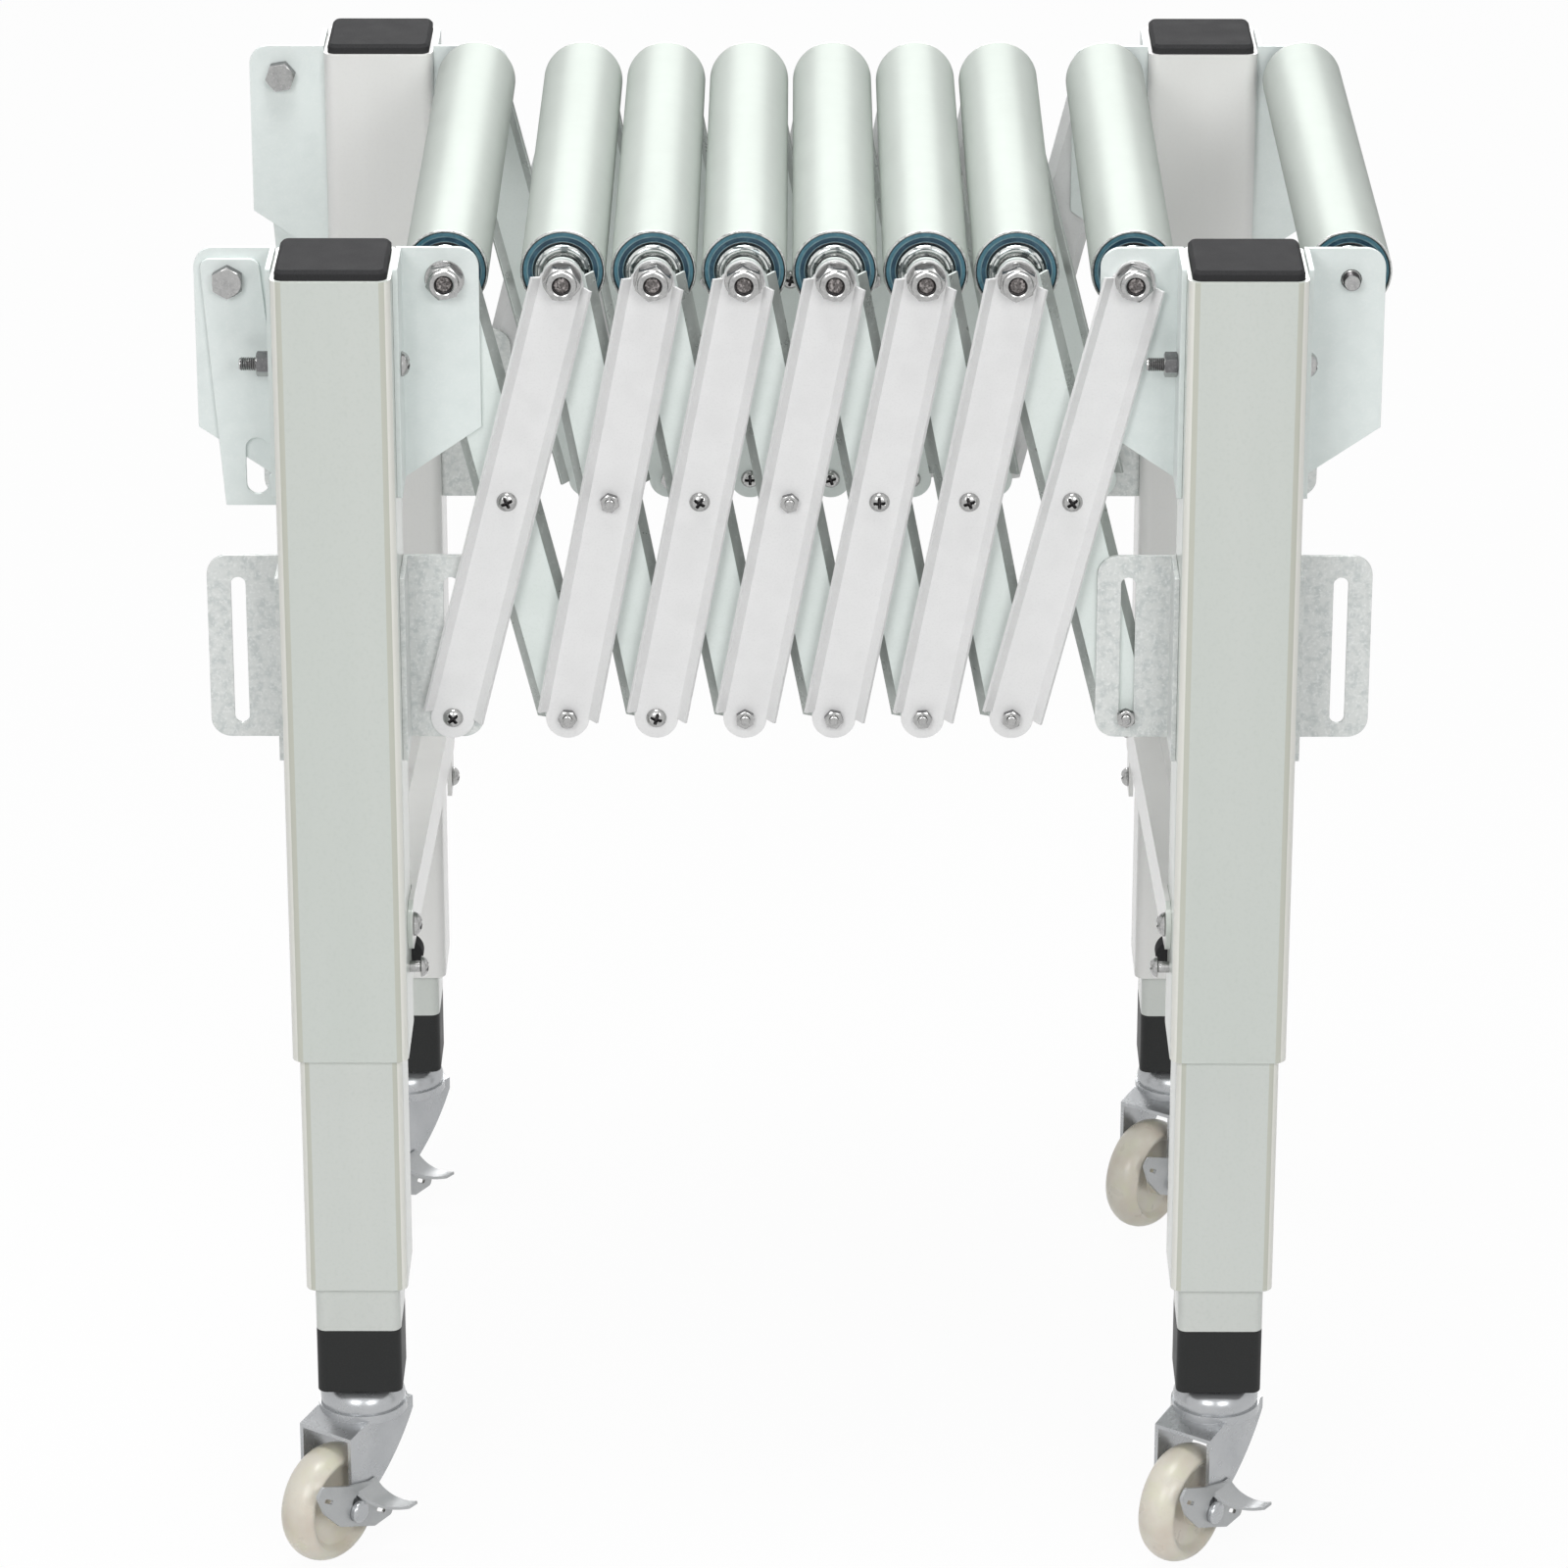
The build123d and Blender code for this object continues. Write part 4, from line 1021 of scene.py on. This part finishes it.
# Lattice
for number in range(1, cells + 1):
    left_x, right_x = axle_x[number - 1], axle_x[number]
    inner = rounded(
        f"inner_bars_{number}", "lattice_steel",
        tallest_dropped=bar_shortest if number == cells else 0.0, bar_ends=(left_x, right_x),
    )
    finish_faces(inner, "inner_bar", (("bar_flange", lambda p, n: abs(n.x) > flange_from),))
    outer = rounded(f"outer_bars_{number}", "lattice_steel", bar_ends=(right_x, left_x))
    finish_faces(outer, "outer_bar")

# The last lower pivots ride with the last inner bars, whose own small solids are dropped above
last_pivots = Shape()
for side in (-1, 1):
    pivot_bolt(last_pivots, axle_x[-1], base_pivot_z, side, False,
               bracket_face, inner_bar_back, slot_bush_radius, last_pivot_turn)
last_pivots = last_pivots.piece("last_pivots")
scene.collection.objects.link(last_pivots)
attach(last_pivots, body_of_node["inner_bars_7"])


# End frames
def leg_corner(low, high):
    """A test for a near leg's rounded vertical corners, by how far their faces turn to the side, which
    picks the bands that get painted highlight and painted shade.
    """
    def found(place, normal):
        near_side = place.y < 0 and normal.y < 0
        return near_side and low < abs(normal.x) < high and abs(normal.z) < corner_level
    return found


# The outer band of each near corner gets painted highlight, the inner band painted shade
corner_rules = (
    ("corner_painted_highlight", leg_corner(corner_highlight_from, corner_highlight_to)),
    ("corner_painted_shade", leg_corner(corner_shade_from, corner_highlight_from)),
)

for end in ("left", "right"):
    finish_faces(rounded(f"{end}_leg_frame", "leg_steel", leg_edge_round), "leg_paint", (
        # The far legs take the painted-light copy of the leg paint
        ("far_leg_painted_light", lambda p, n: p.y > 0),
        *corner_rules,
    ))
    finish_faces(rounded(f"{end}_brackets", "bracket_plate"), "bracket_zinc", (
        ("galvanised", lambda p, n: p.z < slot_bracket_top),
    ))
    finish_faces(rounded(f"{end}_caps_and_guides", "black_plastic"), "cap_plastic")

# Legs and casters
for corner in ("near_left", "near_right", "far_left", "far_right"):
    # The far mid tubes take the painted-light copy of the leg paint
    paint = "far_leg_painted_light" if corner.startswith("far") else "mid_paint"
    # Near mid tubes get the same painted corner highlight and painted shade
    finish_faces(rounded(f"mid_tube_{corner}", "leg_steel"), paint, corner_rules)
    finish_faces(rounded(f"inner_tube_{corner}", "leg_steel"), "inner_paint", (
        ("plug_plastic", lambda p, n: stem_top < p.z < plug_top),
        ("caster_zinc", lambda p, n: p.z < stem_top),
    ))
    finish_faces(rounded(f"caster_fork_{corner}", "caster_steel"), "caster_zinc")
    finish_faces(rounded(f"caster_wheel_{corner}", "wheel_nylon", wheel_edge_round), "wheel_ivory")
    finish_faces(rounded(f"brake_pedal_{corner}", "caster_steel"), "pedal_zinc")

# Hooks
for side in ("near", "far"):
    finish_faces(rounded(f"coupling_hook_{side}", "bracket_plate"), "bracket_zinc")


# Floor, light and camera
def seen_share(nodes, links, share):
    """A factor that is share for what the camera, a reflection or a glass ray sees, and else 0."""
    path = nodes.new("ShaderNodeLightPath")
    last = path.outputs["Is Camera Ray"]
    for name in ("Is Glossy Ray", "Is Transmission Ray"):
        larger = nodes.new("ShaderNodeMath")
        larger.operation = "MAXIMUM"
        links.new(last, larger.inputs[0])
        links.new(path.outputs[name], larger.inputs[1])
        last = larger.outputs["Value"]
    scaled = nodes.new("ShaderNodeMath")
    scaled.operation = "MULTIPLY"
    scaled.inputs[1].default_value = share
    links.new(last, scaled.inputs[0])
    return scaled.outputs["Value"]


def floor_material():
    """A pale floor that keeps the object's shadow, and shows white behind the object."""
    made = bpy.data.materials.new("floor")
    made.use_nodes = True
    nodes = made.node_tree.nodes
    links = made.node_tree.links
    shader = nodes["Principled BSDF"]
    shader.inputs["Base Color"].default_value = floor_colour
    shader.inputs["Roughness"].default_value = floor_rough
    shader.inputs["Specular IOR Level"].default_value = floor_specular
    glow = nodes.new("ShaderNodeEmission")
    glow.inputs["Strength"].default_value = white_strength
    mix = nodes.new("ShaderNodeMixShader")
    links.new(seen_share(nodes, links, floor_white_share), mix.inputs["Fac"])
    links.new(shader.outputs["BSDF"], mix.inputs[1])
    links.new(glow.outputs["Emission"], mix.inputs[2])
    links.new(mix.outputs["Shader"], nodes["Material Output"].inputs["Surface"])
    return made


floor_mesh = bpy.data.meshes.new("floor")
half = floor_size / 2
floor_corners = [(-half, -half, 0), (half, -half, 0), (half, half, 0), (-half, half, 0)]
floor_mesh.from_pydata(floor_corners, [], [(0, 1, 2, 3)])
floor = bpy.data.objects.new("floor", floor_mesh)
floor.data.materials.append(floor_material())
scene.collection.objects.link(floor)

world = bpy.data.worlds.new("studio")
scene.world = world
world.use_nodes = True
sky_nodes = world.node_tree.nodes
sky_links = world.node_tree.links
sky = sky_nodes["Background"]
sky.inputs["Color"].default_value = (1.0, 1.0, 1.0, 1.0)
sky.inputs["Strength"].default_value = sky_strength
seen = sky_nodes.new("ShaderNodeBackground")
seen.inputs["Color"].default_value = (1.0, 1.0, 1.0, 1.0)
seen.inputs["Strength"].default_value = white_strength
sky_mix = sky_nodes.new("ShaderNodeMixShader")
sky_links.new(seen_share(sky_nodes, sky_links, 1.0), sky_mix.inputs["Fac"])
sky_links.new(sky.outputs["Background"], sky_mix.inputs[1])
sky_links.new(seen.outputs["Background"], sky_mix.inputs[2])
sky_links.new(sky_mix.outputs["Shader"], sky_nodes["World Output"].inputs["Surface"])

for name, place, aim, size, power in lamps:
    lamp = bpy.data.lights.new(name, "AREA")
    lamp.shape = "RECTANGLE"
    lamp.size, lamp.size_y = size
    lamp.energy = power
    holder = bpy.data.objects.new(name, lamp)
    holder.location = place
    holder.rotation_euler = (Vector(aim) - Vector(place)).to_track_quat("-Z", "Y").to_euler()
    scene.collection.objects.link(holder)

lens = bpy.data.cameras.new("camera")
lens.sensor_fit = "HORIZONTAL"
lens.sensor_width = sensor_width
lens.lens = focal_pixels / photo_pixels * sensor_width
lens.shift_y = camera_drop / photo_pixels
lens.clip_start, lens.clip_end = camera_clip
camera = bpy.data.objects.new("camera", lens)
camera.location = Vector(camera_place) * MM
camera.rotation_euler = (radians(90 - camera_pitch), 0, radians(camera_yaw))
scene.collection.objects.link(camera)
scene.camera = camera
scene.view_settings.view_transform = "Standard"
